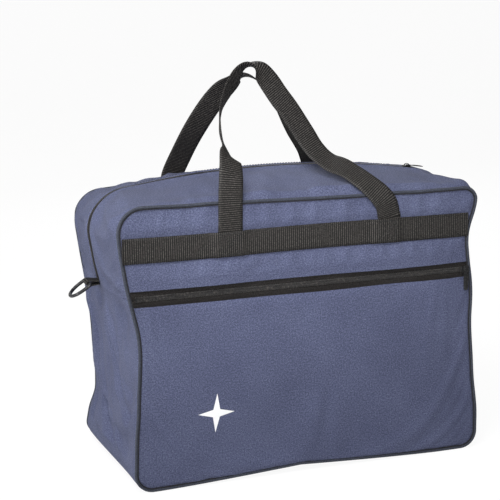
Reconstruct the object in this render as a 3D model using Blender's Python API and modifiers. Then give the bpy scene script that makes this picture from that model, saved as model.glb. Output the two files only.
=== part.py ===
"""Soft flight bag that fits under a cabin seat: piped box shape, zipped top mouth, zipped front
pocket, two webbing handles, a ring at each end and a sleeve behind for a trolley case's handle.

Metres, +Z up. The front faces -Y, the width runs along X, and the origin is the centre of the base.
"""

import math

import bmesh
import bpy
import numpy as np
from mathutils import Matrix, Vector

# Driving dimensions of the sewn box.
WIDTH = 0.400
DEPTH = 0.200
HEIGHT = 0.300
CORNER = 0.035
BASE_CORNER = 0.022
FABRIC = 0.0018
CLEAR = 0.0003

# The top crowns up to the zip line, which runs along one arc across the bag.
RIDGE_TOP = 0.319
RIDGE_RADIUS = 1.070
SIDE_CROWN = 0.0050
SEAM_HEIGHT = 0.205

# Piping, panels and the front pocket.
PIPING_RADIUS = 0.0022
PANEL_INSET = 0.0047
PANEL_FACE = 0.0985
PANEL = 0.0015
ZIP_HEIGHT = 0.2050
ZIP_OPEN = 0.0085
LINER_FACE = 0.0890
LINER_INSET = 0.0024
LINER_TOP = 0.2205
SHELF_INSET = 0.0058
BINDING_INSET = 0.0044
BINDING_FACE = 0.0935
BINDING_RADIUS = 0.0010

# Zips. The mouth and its flaps reach MOUTH to each side, and the flaps start at MOUTH_STRIP.
COIL_IN = 0.0008
COIL_OUT = 0.0037
COIL_TOP = 0.0002
TAPE_TOP = 0.0021
TAPE = 0.0005
TAPE_OUT = 0.0120
LIP = 0.0040
MOUTH = 0.1550
MOUTH_STRIP = 0.0875
SLIDER_AT = 0.1605
COIL_PAST_SLIDER = 0.1670
POCKET_ZIP_HALF = 0.1900
POCKET_SLIDER_AT = 0.1840
POCKET_COIL = 0.0024
STOP_LENGTH = 0.0020

# A slider's body: half its length and width outside and inside, and its plates' heights.
SLIDER_LONG = 0.0050
SLIDER_WIDE = 0.0036
SLIDER_LOW = 0.0004
SLIDER_TOP = 0.0015
SHOE_LONG = 0.0040
SHOE_WIDE = 0.0030
STEM_HALF = 0.0004
BRIDGE_TOP = 0.0040
BRIDGE_BAR = 0.0008
BRIDGE_HALF = 0.0035
BRIDGE_LONG = 0.0010
PULL_LENGTH = 0.0200
PULL_HALF = 0.0027
PULL_LOW = 0.0020
PULL_THICK = 0.0008
STUD_RADIUS = 0.0013
STUD_CAP = 0.0022
POCKET_PULL = 0.0230
POCKET_PULL_HALF = 0.0030
POCKET_PULL_OUT = 0.0024

# Webbing, rings and sleeve.
WEBBING = 0.026
WEBBING_THICK = 0.0014
BAND_HEIGHT = 0.255
BAND_FACE = 0.1013
BAND_THICK = 0.0012
STRAP_END_THICK = 0.0010
FRONT_ENDS = (-0.084, 0.093)
REAR_ENDS = (-0.088, 0.088)
HINGE_FACE = 0.1010
HINGE_HEIGHT = 0.2715
RING_BAR_X = 0.2125
RING_BAR_Z = 0.2060
RING_WIRE = 0.0018
RING_WIDTH = 0.0250
RING_REACH = 0.0270
RING_DROOP = math.radians(34)
SLEEVE_HALF = 0.110
SLEEVE_FACE = 0.109
SLEEVE_TURN = 0.006
SLEEVE_LOW = 0.045
SLEEVE_HIGH = 0.220
TAB_WIDTH = 0.018
TAB_THICK = 0.0015

# The printed star.
STAR_X = -0.110
STAR_Z = 0.079
STAR_POINT = 0.0215
STAR_WAIST = 0.0058
PRINT_THICK = 0.0003

NAVY = (0.105, 0.125, 0.235, 1)
DARK_NAVY = (0.030, 0.034, 0.060, 1)
BLACK = (0.030, 0.029, 0.028, 1)
GREY = (0.110, 0.112, 0.120, 1)
WHITE = (0.800, 0.800, 0.800, 1)

for leftover in list(bpy.data.objects):
    bpy.data.objects.remove(leftover)

bag = bpy.data.collections.new("flight_bag")
cutters = bpy.data.collections.new("cutters")
bpy.context.scene.collection.children.link(bag)
bpy.context.scene.collection.children.link(cutters)


def material(name, colour, roughness, metallic=0.0):
    made = bpy.data.materials.new(name)
    made.use_nodes = True
    shader = made.node_tree.nodes["Principled BSDF"]
    shader.inputs["Base Color"].default_value = colour
    shader.inputs["Roughness"].default_value = roughness
    shader.inputs["Metallic"].default_value = metallic
    return made


def place(name, data, look, parent=None):
    """Links a new object with a material of its own, and keeps its world place under a parent."""
    obj = bpy.data.objects.new(name, data)
    bag.objects.link(obj)
    data.materials.append(material(name, *look))
    if parent:
        obj.parent = parent
        obj.matrix_parent_inverse = parent.matrix_world.inverted()
    return obj


def pivot(name, location):
    """An empty on a joint's axis, which the moving pieces hang from."""
    empty = bpy.data.objects.new(name, None)
    bag.objects.link(empty)
    empty.location = location
    bpy.context.view_layer.update()
    return empty


CLOTH = (NAVY, 0.90)
LINING = (GREY, 0.92)
TRIM = (DARK_NAVY, 0.75)
STRAP = (BLACK, 0.85)
TAPE_LOOK = (BLACK, 0.90)
COIL_LOOK = (BLACK, 0.45)
METAL = (BLACK, 0.35, 0.8)
PRINT = (WHITE, 0.60)


TOP_RUN = WIDTH / 2 - CORNER
BASE_RUN = WIDTH / 2 - BASE_CORNER
CORNER_RUN = math.pi * CORNER / 2
BASE_CORNER_RUN = math.pi * BASE_CORNER / 2
SIDE_RUN = HEIGHT - CORNER - BASE_CORNER
HALF_ROUND = TOP_RUN + CORNER_RUN + SIDE_RUN + BASE_CORNER_RUN + BASE_RUN
SEAM_AT = TOP_RUN + CORNER_RUN + HEIGHT - CORNER - SEAM_HEIGHT
BASE_AT = TOP_RUN + CORNER_RUN + SIDE_RUN
RIDGE_CENTRE = RIDGE_TOP - RIDGE_RADIUS


def outline(run):
    """Point and outward normal of the rounded rectangle, a run along it from the top centre."""
    side = math.copysign(1.0, run)
    left = abs(run)
    if left <= TOP_RUN:
        return (side * left, HEIGHT), (0.0, 1.0)
    left -= TOP_RUN
    if left <= CORNER_RUN:
        turn, radius, across, centre = left / CORNER, CORNER, TOP_RUN, HEIGHT - CORNER
    elif left <= CORNER_RUN + SIDE_RUN:
        return (side * WIDTH / 2, HEIGHT - CORNER - left + CORNER_RUN), (side, 0.0)
    elif left <= CORNER_RUN + SIDE_RUN + BASE_CORNER_RUN:
        turn = math.pi / 2 + (left - CORNER_RUN - SIDE_RUN) / BASE_CORNER
        radius, across, centre = BASE_CORNER, BASE_RUN, BASE_CORNER
    else:
        left -= CORNER_RUN + SIDE_RUN + BASE_CORNER_RUN
        return (side * (BASE_RUN - left), 0.0), (0.0, -1.0)
    out, up = math.sin(turn), math.cos(turn)
    return (side * (across + radius * out), centre + radius * up), (side * out, up)


def crown(run):
    """How far the middle of the gusset swells beyond the piping line."""
    left = abs(run)
    if left <= TOP_RUN:
        return RIDGE_CENTRE + math.sqrt(RIDGE_RADIUS**2 - left**2) - HEIGHT
    at_corner = RIDGE_CENTRE + math.sqrt(RIDGE_RADIUS**2 - TOP_RUN**2) - HEIGHT
    knots = (TOP_RUN, TOP_RUN + CORNER_RUN, SEAM_AT, BASE_AT - 0.03, BASE_AT)
    return float(np.interp(left, knots, (at_corner, at_corner, SIDE_CROWN, 0.002, 0.0)))


def on_gusset(run, y, depth):
    """A point of the gusset, a depth below its outer face."""
    (x, z), (out, up) = outline(run)
    lift = crown(run) * (1 - (2 * y / DEPTH) ** 2) - depth
    return Vector((x + out * lift, y, z + up * lift))


def runs_between(first, last):
    """Stations from first to last: the ends, and enough between them for the corners and crown."""
    marks = {first, last}
    for side in (-1, 1):
        for start, length in ((TOP_RUN, CORNER_RUN), (BASE_AT, BASE_CORNER_RUN)):
            marks.update(side * (start + length * step / 6) for step in range(7))
        marks.update(side * (TOP_RUN + CORNER_RUN + SIDE_RUN * step / 5) for step in range(1, 5))
    marks.update(MOUTH * step / 6 for step in range(-6, 7))
    near = 0.002
    inner = sorted(mark for mark in marks if first + near < mark < last - near)
    return [first] + inner + [last]


def sheet_mesh(name, rows, skip=None):
    """A mesh of quads through rows of points. skip(row, column) leaves a quad out."""
    mesh = bmesh.new()
    grid = [[mesh.verts.new(point) for point in row] for row in rows]
    for i in range(len(grid) - 1):
        for j in range(len(grid[0]) - 1):
            if skip and skip(i, j):
                continue
            corners = (grid[i][j], grid[i + 1][j], grid[i + 1][j + 1], grid[i][j + 1])
            mesh.faces.new(corners)
    for vert in [vert for vert in mesh.verts if not vert.link_faces]:
        mesh.verts.remove(vert)
    data = bpy.data.meshes.new(name)
    mesh.to_mesh(data)
    mesh.free()
    return data


def thicken(obj, thickness, offset=-1):
    """Gives an open sheet its wall, inwards from the face that its normals point out of."""
    solid = obj.modifiers.new("wall", "SOLIDIFY")
    solid.thickness = thickness
    solid.offset = offset
    solid.use_even_offset = True
    return obj


def gusset_piece(name, runs, across, depth, thickness, look, parent=None, skip=None):
    """A piece of the gusset: stations along the outline by stations across the depth."""
    rows = [[on_gusset(run, y, depth) for y in across] for run in runs]
    data = sheet_mesh(name, rows, skip)
    return thicken(place(name, data, look, parent), thickness)


def spread(low, high, pieces):
    return [low + (high - low) * step / pieces for step in range(pieces + 1)]


def flat_plate(name, points, y, thickness, look):
    """A plate with the outline of points in X and Z, from y back to y + thickness."""
    curve = bpy.data.curves.new(name, "CURVE")
    curve.dimensions = "2D"
    curve.fill_mode = "BOTH"
    curve.extrude = thickness / 2
    spline = curve.splines.new("POLY")
    spline.points.add(len(points) - 1)
    for point, (x, z) in zip(spline.points, points):
        point.co = (x, z, 0, 1)
    spline.use_cyclic_u = True
    obj = place(name, curve, look)
    obj.rotation_euler = (math.radians(90), 0, 0)
    obj.location = (0, y + thickness / 2, 0)
    bpy.context.view_layer.update()
    return as_mesh(obj)


def as_mesh(obj):
    """Turns a curve object into a mesh with its caps welded, in the same place."""
    graph = bpy.context.evaluated_depsgraph_get()
    data = bpy.data.meshes.new_from_object(obj.evaluated_get(graph))
    mesh = bmesh.new()
    mesh.from_mesh(data)
    bmesh.ops.remove_doubles(mesh, verts=mesh.verts, dist=1e-6)
    bmesh.ops.recalc_face_normals(mesh, faces=mesh.faces)
    mesh.to_mesh(data)
    mesh.free()
    name, where, look = obj.name, obj.matrix_world.copy(), obj.data.materials[0]
    bpy.data.objects.remove(obj)
    solid = bpy.data.objects.new(name, data)
    solid.name = name
    bag.objects.link(solid)
    if not data.materials:
        data.materials.append(look)
    solid.matrix_world = where
    return solid


def rounded_outline(inset, low, high):
    """Corner points of the bag's outline, inset and cut off level at low and high."""
    half = WIDTH / 2 - inset
    points = []
    for side, quarter in ((1, 0), (1, 1), (-1, 2), (-1, 3)):
        top = quarter in (0, 3)
        full = CORNER if top else BASE_CORNER
        centre = HEIGHT - full if top else full
        if (top and high < centre) or (not top and low > centre):
            points.append((side * half, high if top else low))
            continue
        for step in range(7):
            turn = math.radians(90 * (quarter + step / 6))
            x = side * (WIDTH / 2 - full) + (full - inset) * math.sin(turn)
            points.append((x, centre + (full - inset) * math.cos(turn)))
    return points


def box(name, low, high, look):
    """A box between two corners."""
    low, high = Vector(low), Vector(high)
    mesh = bmesh.new()
    bmesh.ops.create_cube(mesh, size=1.0)
    bmesh.ops.scale(mesh, vec=high - low, verts=mesh.verts)
    bmesh.ops.translate(mesh, vec=(low + high) / 2, verts=mesh.verts)
    data = bpy.data.meshes.new(name)
    mesh.to_mesh(data)
    mesh.free()
    return place(name, data, look)


def disc(name, radius, top, bottom):
    """A short cylinder round local Z, from its top down to its bottom."""
    mesh = bmesh.new()
    bmesh.ops.create_cone(
        mesh, cap_ends=True, segments=20, radius1=radius, radius2=radius, depth=top - bottom
    )
    bmesh.ops.translate(mesh, vec=(0, 0, (top + bottom) / 2), verts=mesh.verts)
    data = bpy.data.meshes.new(name)
    mesh.to_mesh(data)
    mesh.free()
    return place(name, data, METAL)


def as_helper(obj):
    """Keeps an object out of the render, in the collection of the Booleans' operands."""
    bag.objects.unlink(obj)
    cutters.objects.link(obj)
    obj.hide_render = True
    obj.display_type = "WIRE"
    return obj


def combine(obj, other, operation):
    """Adds a Boolean and keeps the other object as a helper."""
    boolean = obj.modifiers.new(operation.lower(), "BOOLEAN")
    boolean.operation = operation
    boolean.object = other
    boolean.solver = "EXACT"
    return obj


def closed_tube(name, points, radius, look, sides=2):
    """A closed loop of round cord."""
    curve = bpy.data.curves.new(name, "CURVE")
    curve.dimensions = "3D"
    curve.bevel_depth = radius
    curve.bevel_resolution = sides
    spline = curve.splines.new("POLY")
    spline.points.add(len(points) - 1)
    for point, place_at in zip(spline.points, points):
        point.co = (*place_at, 1)
    spline.use_cyclic_u = True
    return place(name, curve, look)


def make_shell():
    """Panels, gussets and base of the box."""
    upper = rounded_outline(PANEL_INSET, ZIP_HEIGHT + ZIP_OPEN, HEIGHT)
    lower = rounded_outline(PANEL_INSET, 0, ZIP_HEIGHT - ZIP_OPEN)
    whole = rounded_outline(PANEL_INSET, 0, HEIGHT)
    flat_plate("front_upper_panel", upper, -PANEL_FACE, PANEL, CLOTH)
    flat_plate("front_pocket_panel", lower, -PANEL_FACE, PANEL, CLOTH)
    flat_plate("rear_panel", whole, PANEL_FACE - PANEL, PANEL, CLOTH)

    edge = DEPTH / 2 - 2 * PIPING_RADIUS - CLEAR
    across = spread(-edge, edge, 8)
    for name, side in (("side_gusset_left", -1), ("side_gusset_right", 1)):
        ends = sorted((side * (SEAM_AT + CLEAR), side * (BASE_AT - CLEAR / 2)))
        gusset_piece(name, runs_between(*ends), across, 0, FABRIC, CLOTH)

    # The base goes round both lower corners, so its runs pass through the bottom centre.
    start = BASE_AT + CLEAR / 2
    right = [start + BASE_CORNER_RUN * step / 6 for step in range(7)] + [HALF_ROUND]
    rows = [[on_gusset(run, y, 0) for y in (-edge, edge)] for run in right]
    rows += [[on_gusset(-run, y, 0) for y in (-edge, edge)] for run in reversed(right[:-1])]
    thicken(place("base_gusset", sheet_mesh("base_gusset", rows), CLOTH), FABRIC)

    for name, side in (("upper_gusset_front", -1), ("upper_gusset_rear", 1)):
        stations = runs_between(-SEAM_AT, SEAM_AT)
        across = [side * edge] + [side * y for y in spread(MOUTH_STRIP, LIP, 5)]
        across.sort()
        inner = [j for j, y in enumerate(across) if abs(y) <= MOUTH_STRIP]

        def in_mouth(i, j, stations=stations, inner=inner):
            middle = (stations[i] + stations[i + 1]) / 2
            return abs(middle) < MOUTH and j in inner and j + 1 in inner

        gusset_piece(name, stations, across, 0, FABRIC, CLOTH, skip=in_mouth)


def make_liner():
    """The pocket's inner wall, whose top edge turns forward to the seam above the zip."""
    edge = rounded_outline(LINER_INSET, 0, LINER_TOP)
    liner = flat_plate("pocket_liner", edge, -LINER_FACE, PANEL, LINING)
    half = WIDTH / 2 - SHELF_INSET
    front = -PANEL_FACE + PANEL + CLEAR
    low = (-half, front, LINER_TOP - PANEL)
    shelf = box("liner_shelf", low, (half, -LINER_FACE + PANEL, LINER_TOP), LINING)
    combine(liner, as_helper(shelf), "UNION")


def make_piping():
    """Piping over both seams, and the binding that covers the seams' raw edges inside."""
    for name, side in (("front", -1), ("rear", 1)):
        line = rounded_outline(PIPING_RADIUS, 0, HEIGHT)
        y = side * (DEPTH / 2 - PIPING_RADIUS)
        closed_tube(f"piping_{name}", [(x, y, z) for x, z in line], PIPING_RADIUS, TRIM)
        line = rounded_outline(BINDING_INSET, 0, HEIGHT)
        points = [(x, side * BINDING_FACE, z) for x, z in line]
        closed_tube(f"seam_binding_{name}", points, BINDING_RADIUS, TAPE_LOOK, 1)


def make_flap(name, side):
    """Half of the zipped top. It folds down into the bag about its line by the piping."""
    start = MOUTH_STRIP - CLEAR
    end = MOUTH - 0.0005
    low_corner = on_gusset(end, side * start, FABRIC)
    hinge = pivot(f"hinge_top_{name}", (0, side * start, low_corner.z))
    stations = runs_between(-end, end)
    flap = sorted(side * y for y in spread(start, LIP, 5))
    tape = sorted((side * TAPE_OUT, side * COIL_IN))
    coil = sorted((side * COIL_OUT, side * COIL_IN))
    gusset_piece(f"top_flap_{name}", stations, flap, 0, FABRIC, CLOTH, hinge)
    gusset_piece(f"main_zip_tape_{name}", stations, tape, TAPE_TOP, TAPE, TAPE_LOOK, hinge)
    thick = TAPE_TOP - CLEAR - COIL_TOP
    gusset_piece(f"main_zip_coil_{name}", stations, coil, COIL_TOP, thick, COIL_LOOK, hinge)


def make_zip_end(name, side):
    """The zip's closed run round a top corner, down to its stop at the side seam."""
    end = SEAM_AT - BINDING_RADIUS
    thick = TAPE_TOP - CLEAR - COIL_TOP
    tape_runs = runs_between(*sorted((side * COIL_PAST_SLIDER, side * end)))
    coil_end = end - STOP_LENGTH - CLEAR
    coil_runs = runs_between(*sorted((side * COIL_PAST_SLIDER, side * coil_end)))
    stop_runs = sorted((side * (end - STOP_LENGTH), side * end))
    tape = (-TAPE_OUT, TAPE_OUT)
    coil = (-COIL_OUT, COIL_OUT)
    gusset_piece(f"main_zip_tape_{name}", tape_runs, tape, TAPE_TOP, TAPE, TAPE_LOOK)
    gusset_piece(f"main_zip_coil_{name}", coil_runs, coil, COIL_TOP, thick, COIL_LOOK)
    gusset_piece(f"main_zip_stop_{name}", stop_runs, coil, COIL_TOP, thick, METAL)


def slider_body(name, shoe_low, shoe_top):
    """A slider: an outer plate, a post between the coil rows and a shoe behind the tape.

    Local X runs along the zip, Y across it and Z outwards, from the fabric's outer face.
    """
    low, high = (-SLIDER_LONG, -SLIDER_WIDE, SLIDER_LOW), (SLIDER_LONG, SLIDER_WIDE, SLIDER_TOP)
    outer = box(name, low, high, METAL)
    low, high = (-SHOE_LONG, -SHOE_WIDE, -shoe_low), (SHOE_LONG, SHOE_WIDE, -shoe_top)
    shoe = box(f"{name}_shoe", low, high, METAL)
    low, high = (SHOE_LONG / 8, -STEM_HALF, -shoe_low), (SHOE_LONG, STEM_HALF, BRIDGE_LONG)
    stem = box(f"{name}_stem", low, high, METAL)
    for helper in (shoe, stem):
        combine(outer, as_helper(helper), "UNION")
    return outer, [shoe, stem]


def set_under(objects, frame, parent):
    """Moves objects from their own frame to the world and hangs them from a parent."""
    for obj in objects:
        obj.matrix_world = frame
        obj.parent = parent
        obj.matrix_parent_inverse = parent.matrix_world.inverted()


def make_main_slider():
    """The slider of the mouth's zip, with a pull that flips over on its bridge."""
    turn = math.asin(SLIDER_AT / RIDGE_RADIUS)
    travel = pivot("ridge_centre", (0, 0, RIDGE_CENTRE))
    frame = Matrix.Translation((0, 0, RIDGE_CENTRE)) @ Matrix.Rotation(turn, 4, "Y")
    frame = frame @ Matrix.Translation((0, 0, RIDGE_RADIUS))
    body, helpers = slider_body("main_slider", 0.0040, 0.0030)
    under = BRIDGE_TOP - BRIDGE_BAR
    for side in (-1, 1):
        low, high = sorted((side * (BRIDGE_HALF - BRIDGE_LONG), side * BRIDGE_HALF))
        start, end = (low, -BRIDGE_LONG, BRIDGE_LONG), (high, BRIDGE_LONG, BRIDGE_TOP)
        helpers.append(box(f"bridge_leg_{side}", start, end, METAL))
        combine(body, as_helper(helpers[-1]), "UNION")
    start, end = (-BRIDGE_HALF, -BRIDGE_LONG, under), (BRIDGE_HALF, BRIDGE_LONG, BRIDGE_TOP)
    helpers.append(box("bridge_bar", start, end, METAL))
    combine(body, as_helper(helpers[-1]), "UNION")
    set_under([body] + helpers, frame, travel)

    # The pull's eye goes round the bridge's bar, with play all round it.
    start, end = (-0.0004, -PULL_HALF, PULL_LOW), (PULL_LENGTH, PULL_HALF, PULL_LOW + PULL_THICK)
    pull = box("main_pull", start, end, METAL)
    eye = box("main_pull_eye", (0.0004, -0.0014, 0.0010), (0.0052, 0.0014, BRIDGE_TOP), METAL)
    combine(pull, as_helper(eye), "DIFFERENCE")
    set_under([pull, eye], frame, travel)


def make_pocket_zip():
    """Tapes, coil rows, stops, slider and hanging pull of the front pocket's zip."""
    coil_face = PANEL_FACE - COIL_TOP
    tape_face = PANEL_FACE - PANEL - CLEAR
    coil_back = -tape_face - CLEAR
    for name, side in (("upper", 1), ("lower", -1)):
        near, far = ZIP_HEIGHT + side * COIL_IN, ZIP_HEIGHT + side * TAPE_OUT
        low, high = sorted((near, far))
        half = WIDTH / 2 - PANEL_INSET
        ends = (-half, -tape_face, low), (half, -tape_face + TAPE, high)
        box(f"pocket_zip_tape_{name}", *ends, TAPE_LOOK)
        low, high = sorted((near, ZIP_HEIGHT + side * POCKET_COIL))
        half = POCKET_ZIP_HALF
        box(f"pocket_zip_coil_{name}", (-half, -coil_face, low), (half, coil_back, high), COIL_LOOK)
    for name, side in (("left", -1), ("right", 1)):
        near, far = POCKET_ZIP_HALF + CLEAR, POCKET_ZIP_HALF + STOP_LENGTH + 0.0002
        low, high = sorted((side * near, side * far))
        bottom = (low, -coil_face, ZIP_HEIGHT - POCKET_COIL)
        box(f"pocket_zip_stop_{name}", bottom, (high, coil_back, ZIP_HEIGHT + POCKET_COIL), METAL)

    at = Vector((POCKET_SLIDER_AT, -PANEL_FACE, ZIP_HEIGHT))
    travel = pivot("pocket_slider_place", at)
    frame = Matrix.Translation(at) @ Matrix.Rotation(math.radians(90), 4, "X")
    body, helpers = slider_body("pocket_slider", 0.0035, 0.0027)
    stud = disc("pocket_slider_stud", STUD_RADIUS, BRIDGE_TOP - 0.0006, BRIDGE_LONG)
    cap = disc("pocket_slider_cap", STUD_CAP, BRIDGE_TOP, BRIDGE_TOP - BRIDGE_BAR)
    for helper in (stud, cap):
        combine(body, as_helper(helper), "UNION")
    set_under([body, stud, cap] + helpers, frame, travel)

    # The pull hangs from the stud by a round eye.
    half, long = POCKET_PULL_HALF, POCKET_PULL
    eye_out = half + 0.0001
    points = [(eye_out * math.sin(turn), eye_out * math.cos(turn)) for turn in spread(-2.2, 2.2, 10)]
    points += [(half, -long), (-half, -long)]
    pull = flat_plate("pocket_pull", points, 0, STRAP_END_THICK, METAL)
    pull.location = (at.x, at.y - POCKET_PULL_OUT, at.z)
    eye = as_helper(disc("pocket_pull_eye", STUD_RADIUS + 0.0004, 0.0060, -0.0010))
    set_under([eye], frame, travel)
    bpy.context.view_layer.update()
    pull.parent = travel
    pull.matrix_parent_inverse = travel.matrix_world.inverted()
    combine(pull, eye, "DIFFERENCE")


# A handle's route: x, y and z of its middle line, and its turn in degrees about that line,
# 0 where its width lies front to back and 90 where it faces the front.
FRONT_ROUTE = (
    (-0.084, -0.1010, 0.2715, -90),
    (-0.084, -0.1030, 0.301, -88),
    (-0.081, -0.096, 0.330, -72),
    (-0.080, -0.076, 0.353, -30),
    (-0.079, -0.060, 0.374, -8),
    (-0.066, -0.044, 0.406, -25),
    (-0.050, -0.036, 0.424, -25),
    (-0.034, -0.032, 0.431, 5),
    (-0.012, -0.031, 0.419, 72),
    (0.010, -0.036, 0.381, 86),
    (0.035, -0.044, 0.342, 76),
    (0.054, -0.068, 0.3275, 58),
    (0.074, -0.094, 0.313, 62),
    (0.090, -0.1035, 0.292, 84),
    (0.093, -0.1010, 0.2715, 90),
)
REAR_ROUTE = (
    (-0.088, 0.1010, 0.2715, -90),
    (-0.088, 0.1038, 0.304, -90),
    (-0.083, 0.088, 0.330, -90),
    (-0.070, 0.046, 0.368, -88),
    (-0.054, 0.020, 0.399, -76),
    (-0.036, 0.006, 0.417, -28),
    (-0.012, 0.008, 0.411, 8),
    (0.010, 0.016, 0.379, 20),
    (0.040, 0.036, 0.342, 44),
    (0.070, 0.084, 0.326, 74),
    (0.085, 0.1040, 0.304, 90),
    (0.088, 0.1010, 0.2715, 90),
)


def smooth_route(points, steps):
    """Samples a smooth curve through the points, with the turn carried along."""
    ends = [2 * np.array(points[0]) - np.array(points[1])]
    ends += [np.array(point) for point in points]
    ends += [2 * np.array(points[-1]) - np.array(points[-2])]
    samples = []
    for a, b, c, d in zip(ends, ends[1:], ends[2:], ends[3:]):
        for t in np.arange(steps) / steps:
            bend = (2 * a - 5 * b + 4 * c - d) * t**2 + (3 * b - a - 3 * c + d) * t**3
            samples.append((2 * b + (c - a) * t + bend) / 2)
    samples.append(ends[-2])
    return np.array(samples)


def make_handle(name, route, side):
    """A strap swept along its route, hinged where it leaves the band."""
    line = smooth_route(route, 3)
    middle = line[:, :3]
    along = np.gradient(middle, axis=0)
    along /= np.linalg.norm(along, axis=1)[:, None]
    depthwise = np.array([0, 1.0, 0]) - along[:, 1:2] * along
    depthwise /= np.linalg.norm(depthwise, axis=1)[:, None]
    facing = np.cross(along, depthwise)
    turn = np.radians(line[:, 3])[:, None]
    wide = (np.cos(turn) * depthwise + np.sin(turn) * facing) * WEBBING / 2
    rows = [[Vector(point - half), Vector(point + half)] for point, half in zip(middle, wide)]
    hinge = pivot(f"hinge_handle_{name}", (0, side * HINGE_FACE, HINGE_HEIGHT))
    data = sheet_mesh(f"handle_{name}", rows)
    strap = place(f"handle_{name}", data, STRAP, hinge)
    thicken(strap, WEBBING_THICK, offset=0)


def make_bands():
    """The webbing band across each panel, and the handle ends that it holds down."""
    half = WIDTH / 2 - PANEL_INSET - COIL_IN
    low, high = BAND_HEIGHT - WEBBING / 2, BAND_HEIGHT + WEBBING / 2
    under = PANEL_FACE + CLEAR
    for name, side, ends in (("front", -1, FRONT_ENDS), ("rear", 1, REAR_ENDS)):
        near, far = sorted((side * BAND_FACE, side * (BAND_FACE - BAND_THICK)))
        box(f"band_{name}", (-half, near, low), (half, far, high), STRAP)
        near, far = sorted((side * under, side * (under + STRAP_END_THICK)))
        for place_name, x in zip(("left", "right"), ends):
            bottom = (x - WEBBING / 2, near, low)
            top = (x + WEBBING / 2, far, high)
            box(f"handle_end_{name}_{place_name}", bottom, top, STRAP)


def make_ring(name, side):
    """A D-shaped ring and the webbing tab that its straight bar turns in."""
    half = RING_WIDTH / 2 + RING_WIRE
    reach = RING_REACH - 2 * RING_WIRE
    start = 0.35 * reach
    points = [(0, -half), (start, -half)]
    points += [
        (start + (reach - start) * math.sin(turn), -half * math.cos(turn))
        for turn in spread(0, math.pi, 10)[1:-1]
    ]
    points += [(start, half), (0, half)]
    out, down = math.cos(RING_DROOP), math.sin(RING_DROOP)
    loop = [
        (side * (RING_BAR_X + reach_out * out), y, RING_BAR_Z - reach_out * down)
        for reach_out, y in points
    ]
    closed_tube(f"d_ring_{name}", loop, RING_WIRE, METAL)

    # The tab: a flat root on the side seam that opens into a loop round the bar.
    bore = RING_WIRE + CLEAR
    wrap = bore + TAB_THICK
    root = WIDTH / 2 + SIDE_CROWN + 0.0004
    arc = [
        (side * (RING_BAR_X + wrap * math.sin(turn)), RING_BAR_Z + wrap * math.cos(turn))
        for turn in spread(0, math.pi, 8)
    ]
    edge = arc + [(side * root, RING_BAR_Z - wrap), (side * root, RING_BAR_Z + wrap)]
    tab = flat_plate(f"ring_tab_{name}", edge, -TAB_WIDTH / 2, TAB_WIDTH, STRAP)
    hole = as_helper(disc(f"ring_tab_bore_{name}", bore, TAB_WIDTH, -TAB_WIDTH))
    hole.location = (side * RING_BAR_X, 0, RING_BAR_Z)
    hole.rotation_euler = (math.radians(90), 0, 0)
    bpy.context.view_layer.update()
    combine(tab, hole, "DIFFERENCE")


def make_sleeve():
    """The open-ended sleeve behind the bag, for the handle of a trolley case."""
    seam = PANEL_FACE + CLEAR
    half, foot = SLEEVE_HALF, SLEEVE_HALF + SLEEVE_TURN
    profile = ((foot, seam + PANEL), (half, SLEEVE_FACE), (-half, SLEEVE_FACE), (-foot, seam + PANEL))
    rows = [[Vector((x, y, z)) for z in (SLEEVE_LOW, SLEEVE_HIGH)] for x, y in profile]
    data = sheet_mesh("luggage_sleeve", rows)
    thicken(place("luggage_sleeve", data, CLOTH), PANEL)


def make_mark():
    """A plain four-pointed star printed on the pocket."""
    points = []
    for step in range(8):
        radius = STAR_WAIST if step % 2 else STAR_POINT
        turn = math.radians(45 * step)
        points.append((STAR_X + radius * math.sin(turn), STAR_Z + radius * math.cos(turn)))
    flat_plate("printed_mark", points, -PANEL_FACE - CLEAR - PRINT_THICK, PRINT_THICK, PRINT)


make_shell()
make_liner()
make_piping()
make_flap("front", -1)
make_flap("rear", 1)
make_zip_end("left", -1)
make_zip_end("right", 1)
make_main_slider()
make_pocket_zip()
make_bands()
make_handle("front", FRONT_ROUTE, -1)
make_handle("rear", REAR_ROUTE, 1)
make_ring("left", -1)
make_ring("right", 1)
make_sleeve()
make_mark()
bpy.context.view_layer.update()
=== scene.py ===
import math

import bpy
import numpy as np
from mathutils import Matrix, Vector


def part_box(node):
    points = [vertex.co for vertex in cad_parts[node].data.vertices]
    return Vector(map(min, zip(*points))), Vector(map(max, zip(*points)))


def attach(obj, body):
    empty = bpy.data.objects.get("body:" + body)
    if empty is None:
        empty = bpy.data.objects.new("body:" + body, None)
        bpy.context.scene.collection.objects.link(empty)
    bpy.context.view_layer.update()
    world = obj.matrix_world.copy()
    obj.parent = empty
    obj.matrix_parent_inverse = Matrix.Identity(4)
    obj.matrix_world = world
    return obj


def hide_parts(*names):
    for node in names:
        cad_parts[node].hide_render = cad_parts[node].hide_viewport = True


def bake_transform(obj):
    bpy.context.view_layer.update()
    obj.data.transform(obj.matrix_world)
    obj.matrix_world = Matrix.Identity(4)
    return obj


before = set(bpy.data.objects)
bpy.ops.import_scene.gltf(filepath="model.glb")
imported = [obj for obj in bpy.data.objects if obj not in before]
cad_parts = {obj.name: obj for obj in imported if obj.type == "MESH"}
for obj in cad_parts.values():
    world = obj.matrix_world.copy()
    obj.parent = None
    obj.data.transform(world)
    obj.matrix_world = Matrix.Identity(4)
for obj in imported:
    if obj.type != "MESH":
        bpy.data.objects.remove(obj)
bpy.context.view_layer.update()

print("frame loaded")

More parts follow.
